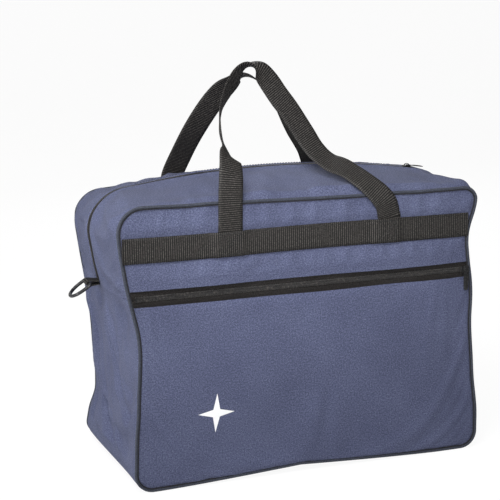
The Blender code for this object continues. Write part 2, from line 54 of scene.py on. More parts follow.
# Sizes read from the frame, in metres.
pipingLow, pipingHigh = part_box("piping_front")
halfWidth, bagHeight, halfDepth = pipingHigh.x, pipingHigh.z, -pipingLow.y
panelFace = -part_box("front_pocket_panel")[0].y
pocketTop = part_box("front_pocket_panel")[1].z
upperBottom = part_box("front_upper_panel")[0].z
zipHeight = (pocketTop + upperBottom) / 2
flapLow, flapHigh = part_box("top_flap_front")
mouthEnd, hingeDepth = flapHigh.x, -flapLow.y
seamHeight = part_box("side_gusset_left")[1].z
bandLow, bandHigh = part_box("band_front")

sewnBox = {
    "topCorner": 0.021,
    "leftCorner": 0.029,  # the front's top corners have worn to different curves
    "rightCorner": 0.018,
    "zipCorner": 0.040,  # the zip line turns down more gently than the seams
    "baseCorner": 0.020,
    "ridgeRadius": 1.070,
    "ridgeTop": 0.319,
    "sideCrown": 0.0050,
    "lowCrown": 0.0020,  # the side's crown where it starts to grow above the base
    "crownHeights": (0.02, 0.05, 0.26),  # start, low crown and shoulder
    "straight": 0.150,
    "dip": (0.0915, 0.0065),  # start and reach of the fall to the piping's middle
    "piping": 0.0015,
    "cloth": 0.0011,
}


# Eased step: 3t² - 2t³, with t held between 0 and 1.
def smoothStep(t):
    t = np.clip(t, 0, 1)
    return t * t * (3 - 2 * t)


# Eased step from 0 at a start to 1 one reach beyond it.
def rise(value, start, reach):
    return smoothStep((value - start) / reach)


# Arrays brought to one shape and set side by side, as the coordinates of points.
def together(*parts):
    return np.stack(np.broadcast_arrays(*parts), -1)


# Straight interpolation averaged over nearby places, which rounds its corners.
def eased(x, knots, values, blur=0.008):
    return sum(np.interp(x + step, knots, values) for step in blur * np.linspace(-1, 1, 5)) / 5


# Sum of plane waves with random headings, phases and wavelengths near a size: about -1 to 1.
def dents(a, b, size, seed, waves=14):
    draw = np.random.default_rng(seed)
    heading, phase = draw.uniform(0, 2 * np.pi, (2, waves))
    reach = size * draw.uniform(0.7, 1.7, waves)
    total = 0
    for h, p, r in zip(heading, phase, reach):
        total = total + np.cos(2 * np.pi * (a * np.cos(h) + b * np.sin(h)) / r + p)
    return total / math.sqrt(waves)


# Run from the top centre, round the top corner, to a height on the straight side.
def runAtHeight(z):
    return halfWidth - sewnBox["topCorner"] * (2 - np.pi / 2) + bagHeight - z


# Point and outward normal at a run round the rounded box from its top centre: straight, quarter
# circle, straight down, quarter circle, straight back under. rounder from 0 to 1 opens the top
# corner up to the zip line's radius, with the run past the mouth drawn in so the side seam stays level.
def outline(run, inset=0.0, rounder=0.0):
    top, base = sewnBox["topCorner"], sewnBox["baseCorner"]
    run, rounder = np.broadcast_arrays(np.asarray(run, float), np.asarray(rounder, float))
    side, left = np.where(run < 0, -1.0, 1.0), np.abs(run)
    seamCorner = np.where(run < 0, sewnBox["leftCorner"], sewnBox["rightCorner"])
    wider = (sewnBox["zipCorner"] - top) * rounder + (seamCorner - top) * (1 - rounder)
    keep, seam = sewnBox["straight"], runAtHeight(seamHeight)
    shorter = wider * (2 - np.pi / 2)
    left = left - shorter * np.clip((left - keep) / (seam - keep), 0, 1)
    top = top + wider
    flat, wall = halfWidth - top, bagHeight - top - base
    arc = top * np.pi / 2
    first = np.clip((left - flat) / top, 0, np.pi / 2)
    second = np.clip((left - flat - arc - wall) / base, 0, np.pi / 2)
    down = np.clip(left - flat - arc, 0, wall)
    back = np.maximum(left - flat - arc - wall - base * np.pi / 2, 0)
    x = np.minimum(left, flat) + top * np.sin(first) - base * (1 - np.cos(second)) - back
    z = bagHeight - top * (1 - np.cos(first)) - down - base * np.sin(second)
    turn = first + second
    out, up = side * np.sin(turn), np.cos(turn)
    return side * x - out * inset, z - up * inset, out, up, first


cutByCorners = (4 - np.pi) * (sewnBox["topCorner"] + sewnBox["baseCorner"]) / 2
wholeRun = halfWidth + bagHeight + halfWidth - cutByCorners
seamRun = runAtHeight(seamHeight)
baseRun = runAtHeight(sewnBox["baseCorner"])

# How the standing bag has slumped: how far each upright edge stands in (+) or out (-) at each height.
slump = {
    "heights": (0, 0.012, 0.042, 0.054, 0.080, 0.107, 0.145, 0.172, 0.200, 0.222, 0.238, 0.255, 0.272, 0.300),
    "frontLeft": (
        0.007, 0.007, 0.008, 0.009, 0.011, 0.013, 0.016, 0.014, 0.008, 0.003, 0.001, -0.001, -0.003, -0.003,
    ),
    "rearLeft": (
        0.000, -0.003, 0.003, 0.010, 0.011, 0.009, 0.008, 0.005, 0.002,
        -0.001, -0.003, -0.005, -0.004, -0.003,
    ),
    "frontRight": (
        -0.001, -0.001, -0.001, 0.000, 0.003, 0.005, 0.008, 0.006, 0.008, 0.011, 0.013, 0.010, 0.003, 0.000,
    ),
    "rearRight": (
        -0.002, -0.002, 0.002, 0.006, 0.009, 0.010, 0.009, 0.008, 0.006, 0.006, 0.005, 0.003, 0.001, 0.000,
    ),
    "leanFrom": (0.03, 0.165),  # each pair is the start and the reach of a rise
    "topDrop": 0.0035,
    "seamDepth": (0.086, 0.011),
    "seamHeight": (0.27, 0.025),
    "dropAt": (-0.15, -0.08, 0.04, 0.20),
    "dropShare": (0, 0.3, 1, 1),
    "shoulderDrop": 0.0090,  # the empty rear corner on the left has sunk
    "shoulderLeft": (0.085, 0.10),
    "shoulderBack": (-0.02, 0.09),
    "shoulderUp": (0.24, 0.05),
    "baseLift": 0.0075,
    "liftAt": -0.010,
    "liftHalf": 0.165,
    "liftHeight": 0.09,
    "liftDepth": (0.060, 0.036),
}


# Moves sewn points to the slumped shape: sideways by the four edge profiles, faded towards the
# middle, down along the top seams and at the rear left shoulder, up along the front bottom seam.
def settle(points):
    x, y, z = np.moveaxis(np.asarray(points, float), -1, 0)
    rear = rise(y, -halfDepth, 2 * halfDepth)
    lean = {}
    for side in ("Left", "Right"):
        front, back = (eased(z, slump["heights"], slump[end + side]) for end in ("front", "rear"))
        lean[side] = front * (1 - rear) + back * rear
    fade = rise(np.abs(x), *slump["leanFrom"])
    movedX = x + np.where(x < 0, lean["Left"], -lean["Right"]) * fade
    seam = rise(np.abs(y), *slump["seamDepth"]) * rise(z, *slump["seamHeight"])
    sagging = eased(x, slump["dropAt"], slump["dropShare"], 0.03)
    lifted = np.maximum(1 - np.abs(x - slump["liftAt"]) / slump["liftHalf"], 0) ** 1.35
    low = np.clip(1 - z / slump["liftHeight"], 0, 1) ** 1.6 * rise(-y, *slump["liftDepth"])
    movedZ = z - slump["topDrop"] * seam * sagging + slump["baseLift"] * lifted * low
    shoulder = rise(-x, *slump["shoulderLeft"]) * rise(y, *slump["shoulderBack"])
    shoulder = shoulder * rise(z, *slump["shoulderUp"])
    return np.stack((movedX, y, movedZ - slump["shoulderDrop"] * shoulder), -1)


# How far the gusset stands out midway between the seams: an arc of the ridge's radius over the
# top, and straight stretches between four heights down the sides.
def crown(x, z, turn):
    radius, centre = sewnBox["ridgeRadius"], sewnBox["ridgeTop"] - sewnBox["ridgeRadius"]
    flat = halfWidth - sewnBox["zipCorner"]
    onTop = centre + np.sqrt(radius**2 - np.minimum(np.abs(x), flat) ** 2) - bagHeight
    atCorner = centre + math.sqrt(radius**2 - flat**2) - bagHeight
    start, low, shoulder = sewnBox["crownHeights"]
    heights = (start, low, seamHeight, shoulder)
    onSide = np.interp(z, heights, (0, sewnBox["lowCrown"], sewnBox["sideCrown"], atCorner))
    return np.where(turn > 0, onSide, onTop)


# The gusset's outer face: the outline pushed out by its crown, which falls with the square of the
# depth and dips to the piping's middle at its edges.
def gusset(run, y, depth=0.0):
    run, y = np.broadcast_arrays(np.asarray(run, float), np.asarray(y, float))
    x, z, out, up, turn = outline(run, 0.0, 1 - (y / halfDepth) ** 2)
    lift = crown(x, z, turn) * (1 - (y / halfDepth) ** 2) - depth
    lift = lift - sewnBox["piping"] * rise(np.abs(y), *sewnBox["dip"])
    return np.stack((x + out * lift, y, z + up * lift), -1)


# The outline's own outward direction, level from front to back.
def gussetNormal(run, y=0.0):
    x, z, out, up, turn = outline(run, 0.0, 1 - (y / halfDepth) ** 2)
    return np.stack((out, np.zeros_like(out), up), -1)


nodeGap = 220


# A shader node with its properties and sockets set by name, placed on a grid.
def addNode(tree, kind, **values):
    node = tree.nodes.new(kind)
    node.location = (nodeGap * (len(tree.nodes) % 8), -nodeGap * (len(tree.nodes) // 8))
    for name, value in values.items():
        if hasattr(node, name):
            setattr(node, name, value)
        else:
            node.inputs[name.replace("_", " ")].default_value = value
    return node


# One maths node: its inputs are numbers or other nodes' outputs.
def calculate(tree, operation, *values):
    node = addNode(tree, "ShaderNodeMath", operation=operation)
    for socket, value in zip(node.inputs, values):
        if isinstance(value, (int, float)):
            socket.default_value = value
        else:
            tree.links.new(value, socket)
    return node.outputs[0]


# A noise texture's value at a place, about 0 to 1.
def noise(tree, vector, scale, detail=2.0, roughness=0.5):
    node = addNode(tree, "ShaderNodeTexNoise", Scale=scale, Detail=detail, Roughness=roughness)
    tree.links.new(vector, node.inputs["Vector"])
    return node.outputs[0]


# An empty shader group with its named inputs, and one number for each output.
def newGroup(name, inputs, outputs):
    tree = bpy.data.node_groups.new(name, "ShaderNodeTree")
    for socket, kind in inputs:
        tree.interface.new_socket(socket, in_out="INPUT", socket_type=kind)
    for socket in outputs:
        tree.interface.new_socket(socket, in_out="OUTPUT", socket_type="NodeSocketFloat")
    return tree, tree.nodes.new("NodeGroupInput"), tree.nodes.new("NodeGroupOutput")


# Plain weave: threads along and across pass over each other, checkerboard fashion. It also gives
# fine flecks of mixed yarn and broad clouds of fading.
def makeWeaveGroup():
    tree, given, result = newGroup(
        "plainWeave",
        (("Place", "NodeSocketVector"), ("Threads per metre", "NodeSocketFloat")),
        ("Height", "Fleck", "Cloud"),
    )
    split = addNode(tree, "ShaderNodeSeparateXYZ")
    tree.links.new(given.outputs["Place"], split.inputs[0])
    turns = calculate(tree, "MULTIPLY", given.outputs["Threads per metre"], math.pi)
    waves = []
    for axis in range(2):
        waves.append(calculate(tree, "SINE", calculate(tree, "MULTIPLY", split.outputs[axis], turns)))
    product = calculate(tree, "MULTIPLY", *waves)
    tree.links.new(calculate(tree, "MULTIPLY_ADD", product, 0.5, 0.5), result.inputs["Height"])
    fine = calculate(tree, "MULTIPLY", noise(tree, given.outputs["Place"], 1500.0, 3.0, 0.75), 0.62)
    mixed = calculate(tree, "MULTIPLY", noise(tree, given.outputs["Place"], 620.0, 2.0, 0.6), 0.38)
    fleck = calculate(tree, "ADD", fine, mixed)
    tree.links.new(fleck, result.inputs["Fleck"])
    tree.links.new(noise(tree, given.outputs["Place"], 11.0, 7.0, 0.66), result.inputs["Cloud"])
    return tree


# Ribs across a strap at a pitch along U, with the yarn's twist breaking each rib up.
def makeRibGroup():
    tree, given, result = newGroup(
        "ribbedWeave",
        (("Place", "NodeSocketVector"), ("Ribs per metre", "NodeSocketFloat")),
        ("Rib", "Yarn", "Fleck"),
    )
    split = addNode(tree, "ShaderNodeSeparateXYZ")
    tree.links.new(given.outputs["Place"], split.inputs[0])
    turns = calculate(tree, "MULTIPLY", given.outputs["Ribs per metre"], 2 * math.pi)
    rib = calculate(tree, "COSINE", calculate(tree, "MULTIPLY", split.outputs[0], turns))
    tree.links.new(calculate(tree, "MULTIPLY_ADD", rib, 0.5, 0.5), result.inputs["Rib"])
    across = calculate(tree, "MULTIPLY", split.outputs[1], 5200.0)
    slant = calculate(tree, "MULTIPLY", split.outputs[0], 1500.0)
    yarn = calculate(tree, "SINE", calculate(tree, "ADD", across, slant))
    tree.links.new(calculate(tree, "MULTIPLY_ADD", yarn, 0.5, 0.5), result.inputs["Yarn"])
    tree.links.new(noise(tree, given.outputs["Place"], 700.0, 3.0, 0.8), result.inputs["Fleck"])
    return tree


weaveGroup, ribGroup = makeWeaveGroup(), makeRibGroup()


# A node material with its roughness and any other constants set on the main shader.
def newLook(name, roughness, **constants):
    look = bpy.data.materials.new(name)
    look.use_nodes = True
    tree = look.node_tree
    shader = tree.nodes["Principled BSDF"]
    shader.inputs["Roughness"].default_value = roughness
    for socket, value in constants.items():
        shader.inputs[socket.replace("_", " ")].default_value = value
    return look, tree, shader


# One of the weave groups at a place, with its threads or ribs to the metre.
def useGroup(tree, group, vector, density):
    node = addNode(tree, "ShaderNodeGroup")
    node.node_tree = group
    tree.links.new(vector, node.inputs[0])
    node.inputs[1].default_value = density
    return node


# A colour ramp: straight blends between the stops, each a place and a colour.
def ramp(tree, value, *stops):
    node = addNode(tree, "ShaderNodeValToRGB")
    band = node.color_ramp
    while len(band.elements) < len(stops):
        band.elements.new(0.5)
    for element, (place, colour) in zip(band.elements, stops):
        element.position = place
        element.color = (*colour, 1)
    tree.links.new(value, node.inputs[0])
    return node.outputs["Color"]


# Two colours blended by a mask, or multiplied where the kind says so.
def blendColours(tree, mask, first, second, kind="MIX"):
    node = addNode(tree, "ShaderNodeMix", data_type="RGBA", blend_type=kind)
    for socket, value in ((node.inputs[0], mask), (node.inputs[6], first), (node.inputs[7], second)):
        if isinstance(value, (float, tuple)):
            socket.default_value = value
        else:
            tree.links.new(value, socket)
    return node.outputs[2]


# Height turned into small tilts of the surface.
def addBump(tree, shader, height, strength, distance):
    bump = addNode(tree, "ShaderNodeBump", Strength=strength, Distance=distance)
    tree.links.new(height, bump.inputs["Height"])
    tree.links.new(bump.outputs[0], shader.inputs["Normal"])


# The piece's own flat map, in metres along and across the cloth.
def surfacePlace(tree):
    return addNode(tree, "ShaderNodeUVMap", uv_map="cloth").outputs[0]


# Heathered polyester: light and dark yarns flecked together, faded in broad clouds, with painted shade where
# the threads dip.
def makeClothLook(name, dark, middle, light, threads, roughness=0.88):
    sheen = {"Sheen_Weight": 0.03, "Sheen_Roughness": 0.5, "Specular_IOR_Level": 0.15}
    look, tree, shader = newLook(name, roughness, **sheen)
    weave = useGroup(tree, weaveGroup, surfacePlace(tree), threads)
    yarn = ramp(tree, weave.outputs["Fleck"], (0.34, dark), (0.50, middle), (0.66, light))
    cloud = ramp(tree, weave.outputs["Cloud"], (0.32, (0.76, 0.76, 0.79)), (0.68, (1.0, 1.0, 1.0)))
    colour = blendColours(tree, 1.0, yarn, cloud, "MULTIPLY")
    # Painted shade: darker where the weave lies low between threads.
    threadGapShade = ramp(tree, weave.outputs["Height"], (0.0, (0.72, 0.72, 0.74)), (0.45, (1.0, 1.0, 1.0)))
    tree.links.new(blendColours(tree, 0.6, colour, threadGapShade, "MULTIPLY"), shader.inputs["Base Color"])
    fluff = calculate(tree, "MULTIPLY", weave.outputs["Fleck"], 1.2)
    addBump(tree, shader, calculate(tree, "ADD", weave.outputs["Height"], fluff), 0.55, 0.0003)
    return look


# Strap webbing: painted shade in the gaps, with the ribs' tops lightening up to a painted highlight, broken
# up by the yarn's flecks.
def makeWebbingLook(name, gapShadeColour, topColour, paintedHighlight, pitch):
    look, tree, shader = newLook(name, 0.6, Specular_IOR_Level=0.25)
    rib = useGroup(tree, ribGroup, surfacePlace(tree), 1 / pitch)
    patchy = calculate(tree, "MULTIPLY_ADD", rib.outputs["Fleck"], 1.5, -0.15)
    mask = calculate(tree, "MULTIPLY", rib.outputs["Rib"], patchy)
    # The ramp runs from painted shade in the gaps to a painted highlight on the ribs' tops.
    colour = ramp(tree, mask, (0.06, gapShadeColour), (0.42, topColour), (0.82, paintedHighlight))
    tree.links.new(colour, shader.inputs["Base Color"])
    fluff = calculate(tree, "MULTIPLY", rib.outputs["Fleck"], 0.8)
    height = calculate(tree, "MULTIPLY_ADD", rib.outputs["Yarn"], 0.5, fluff)
    addBump(tree, shader, height, 0.5, 0.0002)
    return look


# Painted or moulded hard parts: faint orange peel, scuffs that lighten and dull the surface.
def makeHardLook(name, colour, scuff, roughness, metallic=0.0):
    look, tree, shader = newLook(name, roughness, Metallic=metallic, Specular_IOR_Level=0.5)
    place = addNode(tree, "ShaderNodeTexCoord").outputs["Object"]
    wear = noise(tree, place, 420.0, 4.0, 0.7)
    tree.links.new(ramp(tree, wear, (0.52, colour), (0.74, scuff)), shader.inputs["Base Color"])
    tree.links.new(calculate(tree, "MULTIPLY_ADD", wear, 0.25, roughness - 0.12), shader.inputs["Roughness"])
    addBump(tree, shader, noise(tree, place, 1500.0, 2.0), 0.2, 0.0001)
    return look


looks = {
    "navy": makeClothLook(
        "navyCloth", (0.030, 0.034, 0.066), (0.084, 0.095, 0.166), (0.205, 0.228, 0.340), 1900.0,
    ),
    "lining": makeClothLook(
        "liningCloth", (0.020, 0.022, 0.030), (0.050, 0.055, 0.072), (0.090, 0.095, 0.120), 1600.0,
    ),
    "piping": makeClothLook(
        "pipingCloth", (0.018, 0.021, 0.030), (0.046, 0.052, 0.070), (0.110, 0.118, 0.140), 2300.0, 0.7,
    ),
    "binding": makeClothLook(
        "bindingTape", (0.010, 0.010, 0.012), (0.026, 0.026, 0.030), (0.050, 0.050, 0.055), 2200.0,
    ),
    "tape": makeClothLook(
        "zipTapeCloth", (0.008, 0.007, 0.007), (0.022, 0.020, 0.019), (0.060, 0.055, 0.052), 2600.0, 0.8,
    ),
    # Webbing colours: painted gap shade, the ribs' tops, and a painted highlight.
    "webbing": makeWebbingLook(
        "strapWebbing", (0.0025, 0.0023, 0.0022), (0.015, 0.0138, 0.0130), (0.120, 0.110, 0.102), 0.0022,
    ),
    "coil": makeHardLook("zipCoilNylon", (0.014, 0.013, 0.013), (0.110, 0.098, 0.088), 0.38),
    "slider": makeHardLook("sliderEnamel", (0.012, 0.012, 0.013), (0.060, 0.060, 0.062), 0.30, 0.4),
    "ring": makeHardLook("ringEnamel", (0.018, 0.018, 0.020), (0.120, 0.120, 0.125), 0.32, 0.3),
    "thread": makeHardLook("sewingThread", (0.020, 0.022, 0.036), (0.060, 0.064, 0.090), 0.75),
    "blackThread": makeHardLook("blackThread", (0.008, 0.008, 0.008), (0.030, 0.028, 0.026), 0.70),
}


# Screen print: white ink that has sunk into the weave and thinned in places.
def makePrintLook():
    look, tree, shader = newLook("whiteInk", 0.55)
    weave = useGroup(tree, weaveGroup, surfacePlace(tree), 1900.0)
    ink = ramp(tree, weave.outputs["Fleck"], (0.30, (0.62, 0.64, 0.70)), (0.42, (0.88, 0.88, 0.88)))
    tree.links.new(ink, shader.inputs["Base Color"])
    addBump(tree, shader, weave.outputs["Height"], 0.3, 0.0002)
    return look


looks["print"] = makePrintLook()
print("materials made")


def addObject(name, data):
    obj = bpy.data.objects.new(name, data)
    bpy.context.scene.collection.objects.link(obj)
    return obj


# Corner numbers of every cell of a grid; a closed direction joins its last line to its first.
def gridFaces(rows, columns, closedRows=False, closedColumns=False):
    i = np.arange(rows if closedRows else rows - 1)[:, None]
    j = np.arange(columns if closedColumns else columns - 1)[None, :]
    here, below = i * columns, (i + 1) % rows * columns
    nextJ = (j + 1) % columns
    return together(here + j, below + j, below + nextJ, here + nextJ).reshape(-1, 4)


# True where a surface's first faces turn inwards: for a closed shape by its signed volume, for an
# open sheet by which side of it the bag's middle lies.
def facesInwards(points, faces, isClosed):
    a, b, c, d = (points[faces[:, k]] for k in range(4))
    across = np.cross(c - a, d - b)
    middle = (a + b + c + d) / 4
    inside = np.zeros(3) if isClosed else np.array((0, 0, bagHeight / 2))
    return np.sum(across * (middle - inside)) < 0


# A smooth-shaded piece from points and faces, sharp only round its open rims, with its look, its
# flat map, its body and the solids it stands for.
def makePiece(name, points, faces, look, body, nodes=(), uv=None, extra=()):
    points = np.asarray(points, float).reshape(-1, 3)
    mesh = bpy.data.meshes.new(name)
    mesh.from_pydata(points.tolist(), [], np.asarray(faces).tolist() + [list(face) for face in extra])
    if uv is not None:
        corner = np.empty(len(mesh.loops), np.int32)
        mesh.loops.foreach_get("vertex_index", corner)
        layer = mesh.uv_layers.new(name="cloth")
        layer.data.foreach_set("uv", np.asarray(uv, np.float32).reshape(-1, 2)[corner].ravel())
    mesh.materials.append(looks[look])
    mesh.polygons.foreach_set("use_smooth", np.full(len(mesh.polygons), True))
    mesh.update()
    sides = np.empty(len(mesh.loops), np.int32)
    mesh.loops.foreach_get("edge_index", sides)
    mesh.edges.foreach_set("use_edge_sharp", np.bincount(sides, minlength=len(mesh.edges)) == 1)
    obj = addObject(name, mesh)
    if body:
        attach(obj, body)
    if nodes:
        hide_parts(*nodes)
    return obj


# A sheet of cloth from a grid of points, thickened inwards; its inner side can be lined.
def makeSheet(name, points, uv, look="navy", body="root", nodes=(), thickness=None, lined=True, refine=1):
    rows, columns = points.shape[:2]
    faces = gridFaces(rows, columns)
    if facesInwards(points.reshape(-1, 3), faces, False):
        faces = faces[:, ::-1]
    obj = makePiece(name, points, faces, look, body, nodes, uv)
    if refine:
        smoother = obj.modifiers.new("round", "SUBSURF")
        smoother.levels = smoother.render_levels = refine
        smoother.boundary_smooth = "PRESERVE_CORNERS"
    wall = obj.modifiers.new("wall", "SOLIDIFY")
    wall.thickness = thickness or sewnBox["cloth"]
    wall.offset = -1
    if lined:
        obj.data.materials.append(looks["lining"])
        wall.material_offset = 1
    return obj


# Lengths along a path, and the path sampled again at even lengths.
def pathLengths(path):
    return np.r_[0, np.cumsum(np.linalg.norm(np.diff(path[:, :3], axis=0), axis=1))]


def resample(path, lengths):
    known = pathLengths(path)
    return np.stack([np.interp(lengths, known, path[:, k]) for k in range(path.shape[1])], -1)


# Vectors divided by their own lengths.
def unit(vectors):
    return vectors / np.linalg.norm(vectors, axis=-1, keepdims=True)


# Directions along a path, from the points either side of each.
def tangents(path, closed=False):
    if closed:
        return unit(np.roll(path, -1, axis=0) - np.roll(path, 1, axis=0))
    return unit(np.gradient(path, axis=0))


# A profile of (across, height) carried along a path, as a closed loop at every station.
def sweep(centre, wide, facing, profile, swell=None):
    height = profile[None, :, 1:2] * (1 if swell is None else swell[:, None, None])
    return centre[:, None] + wide[:, None] * profile[None, :, :1] + facing[:, None] * height


# A tube from closed loops at every station, capped at both ends unless it is a closed loop itself.
def makeSwept(name, rings, look, body, nodes=(), uv=None, closed=False):
    stations, around = rings.shape[:2]
    faces = gridFaces(stations, around, closed, True)
    first, last = list(range(around)), list(range((stations - 1) * around, stations * around))
    ends = [] if closed else [first[::-1], last]
    if facesInwards(rings.reshape(-1, 3) - rings.mean((0, 1)), faces, True):
        faces = faces[:, ::-1]
        ends = [end[::-1] for end in ends]
    return makePiece(name, rings, faces, look, body, nodes, uv, ends)


# Short rounded bars: four rings of six points each, capped, one bar for every centre.
def bars(centre, along, out, halfLength, radius):
    along, out = unit(along), unit(out)
    side = unit(np.cross(along, out))
    steps, sizes = np.array((-1, -0.72, 0.72, 1)), np.array((0.45, 1, 1, 0.45))
    turn = np.arange(6) * np.pi / 3
    lengthwise = np.repeat(steps, 6) * halfLength
    outwards = np.outer(sizes, np.cos(turn)).ravel() * radius
    sideways = np.outer(sizes, np.sin(turn)).ravel() * radius
    points = centre[:, None] + along[:, None] * lengthwise[None, :, None]
    points = points + out[:, None] * outwards[None, :, None] + side[:, None] * sideways[None, :, None]
    start = np.arange(len(centre))[:, None, None] * 24
    quads = (gridFaces(4, 6, False, True)[None] + start).reshape(-1, 4)
    caps = np.array((range(5, -1, -1), range(18, 24)))
    hexes = (caps[None] + start).reshape(-1, 6)
    if np.dot(np.cross(along[0], out[0]), side[0]) > 0:
        quads, hexes = quads[:, ::-1], hexes[:, ::-1]
    return points.reshape(-1, 3), quads, hexes


# Rows of bars joined into one piece.
def makeBars(name, groups, look, body, nodes=()):
    points, quads, hexes, start = [], [], [], 0
    for group in groups:
        p, q, h = bars(*group)
        points.append(p)
        quads.append(q + start)
        hexes.append(h + start)
        start += len(p)
    points, quads = np.concatenate(points), np.concatenate(quads)
    return makePiece(name, points, quads, look, body, nodes, points[:, :2], np.concatenate(hexes).tolist())


# The same direction for every place in a row.
def rowOut(count, out):
    return np.tile(np.asarray(out, float), (count, 1))


# A row of stitches along a path: even spacing, each a short bar lying along it.
def stitchRow(path, out, pitch=0.0032, radius=0.00026, share=0.36):
    length = pathLengths(path)[-1]
    count = max(int(length / pitch), 1)
    at = (np.arange(count) + 0.5) * length / count
    both = resample(np.concatenate((path, out), 1), at)
    ahead = resample(path, np.minimum(at + 0.0005, length)) - resample(path, np.maximum(at - 0.0005, 0))
    return both[:, :3], ahead, both[:, 3:], pitch * share, radius


drapeSettings = {
    "frames": 14,
    "quality": 8,
    "gravity": 0.3,
    "mass": 0.15,
    "stiffness": 12.0,
    "shear": 4.0,
    "bending": 0.35,
}


# Lets a sheet with extra cloth in it find its own folds between the places where it is sewn, then
# caps how far any point has moved: the cap times the tanh of its move over the cap.
def drape(points, held, slack, cap):
    rows, columns = points.shape[:2]
    mesh = bpy.data.meshes.new("drape")
    flat = points.reshape(-1, 3)
    faces = gridFaces(rows, columns)
    if facesInwards(flat, faces, False):
        faces = faces[:, ::-1]
    mesh.from_pydata(flat.tolist(), [], faces.tolist())
    helper = addObject("drape", mesh)
    helper.vertex_groups.new(name="sewn").add(np.flatnonzero(held.ravel()).tolist(), 1.0, "REPLACE")
    cloth = helper.modifiers.new("cloth", "CLOTH")
    cloth.settings.quality = drapeSettings["quality"]
    cloth.settings.mass = drapeSettings["mass"]
    cloth.settings.tension_stiffness = cloth.settings.compression_stiffness = drapeSettings["stiffness"]
    cloth.settings.shear_stiffness = drapeSettings["shear"]
    cloth.settings.bending_stiffness = drapeSettings["bending"]
    cloth.settings.shrink_min = -slack
    cloth.settings.vertex_group_mass = "sewn"
    cloth.settings.effector_weights.gravity = drapeSettings["gravity"]
    cloth.collision_settings.use_collision = False
    cloth.point_cache.frame_start, cloth.point_cache.frame_end = 1, drapeSettings["frames"]
    scene = bpy.context.scene
    for number in range(1, drapeSettings["frames"] + 1):
        scene.frame_set(number)
    evaluated = helper.evaluated_get(bpy.context.evaluated_depsgraph_get())
    moved = np.empty(flat.size, np.float32)
    evaluated.data.vertices.foreach_get("co", moved)
    scene.frame_set(1)
    bpy.data.objects.remove(helper)
    shift = moved.reshape(-1, 3) - flat
    size = np.linalg.norm(shift, axis=1, keepdims=True)
    shift = shift * cap * np.tanh(size / cap) / np.maximum(size, 1e-9)
    return (flat + shift).reshape(points.shape)


panel = {
    "bulge": 0.0110,  # how far the pocket's full front stands out
    "upperBulge": 0.0022,
    "lipBulge": 0.0028,  # how far the cloth beside the pocket's zip stands out
    "rearBulge": 0.0050,
    "dents": 0.0011,
    "dentSize": 0.11,
    "dentFade": 0.035,  # distance from the seams over which the dents grow
    "puckers": 0.0008,
    "puckerSize": 0.022,
    "puckerFade": 0.016,
    "puckerFrom": (0.003, 0.009),
    "sideStrip": 0.04,  # within it the puckers run down the side seams
    "rim": 0.0007,  # how far the sewn rim sinks
    "rimWidth": 0.006,
    "bandHalf": 0.019,  # half the height that the webbing band presses flat
    "columns": 121,
    "crowding": 1.12,  # above 1 the columns stand closer at the sides
    "rowPitch": 0.0033,
    "underPiping": 0.0018,
}


# Half the panel's width at a height: straight sides with a quarter circle at each corner.
def halfAt(z, x, inset=panel["underPiping"]):
    corner = np.where(np.asarray(x) < 0, sewnBox["leftCorner"], sewnBox["rightCorner"])
    half, top, base = halfWidth - inset, corner - inset, sewnBox["baseCorner"] - inset
    over = np.clip((z - (bagHeight - corner)) / top, 0, 1)
    under = np.clip((sewnBox["baseCorner"] - z) / base, 0, 1)
    return half - top * (1 - np.sqrt(1 - over**2)) - base * (1 - np.sqrt(1 - under**2))


# Heights of a panel's rows: even angles round the bottom and top corners, even steps between.
def panelHeights(low, high):
    top, base, edge = sewnBox["leftCorner"], sewnBox["baseCorner"], sewnBox["piping"]
    parts = []
    if low < base:
        turn = np.linspace(0, np.pi / 2, 10)
        parts.append(base - (base - edge) * np.cos(turn))
        low = base
    last = min(high, bagHeight - top)
    count = max(int((last - low) / panel["rowPitch"]), 4)
    parts.append(np.linspace(low, last, count)[(1 if parts else 0):])
    if high > last:
        turn = np.linspace(0, np.pi / 2, 14)[1:]
        parts.append(bagHeight - top + (top - edge) * np.sin(turn))
    return np.concatenate(parts)


# 1 where the webbing band presses the panel flat, falling to 0 beyond its edges.
def underBand(z):
    return np.exp(-(((z - (bandLow.z + bandHigh.z) / 2) / panel["bandHalf"]) ** 6))


# A panel's points: across by shares of the half width, out by a bulge, dents and puckers that
# crowd the sewn edges. side is -1 for the front and 1 for the back.
def panelGrid(low, high, side, bulge, seed):
    z = panelHeights(low, high)[:, None]
    share = np.linspace(-1, 1, panel["columns"])[None, :]
    share = np.sign(share) * (1 - (1 - np.abs(share)) ** panel["crowding"])
    half = halfAt(z, share)
    x, z = half * share, z + 0 * share
    edge = np.minimum(half - np.abs(x), np.minimum(z, bagHeight - z) - sewnBox["piping"])
    edge = np.clip(edge, 0, 1)
    run = np.where(np.abs(x) > half - panel["sideStrip"], z, x)
    wave = dents(run, 0 * run, panel["puckerSize"], seed + 1) * np.exp(-edge / panel["puckerFade"])
    wave = wave * rise(edge, *panel["puckerFrom"])
    relief = panel["dents"] * dents(x, z, panel["dentSize"], seed) * smoothStep(edge / panel["dentFade"])
    out = (bulge(share, z) + (relief + panel["puckers"] * wave)) * (1 - underBand(z))
    rim = panel["rim"] * (1 - smoothStep(edge / panel["rimWidth"]))
    return together(x, side * (panelFace - rim + out), z), together(x, z)


# The full pocket: a sine over its height that peaks above the middle, flat-topped across, fuller on
# the left, and a small lip just below the zip.
def pocketBulge(share, z):
    height = np.clip(z / pocketTop, 0, 1)
    lip = 0.5 * panel["lipBulge"] * rise(height, 0.8, 0.2) * (1 - share**8)
    swell = panel["bulge"] * np.sin(np.pi * height**1.62) ** 0.8 * (1 - share**4) ** 0.9
    return lip + swell * (1 - 0.25 * share)


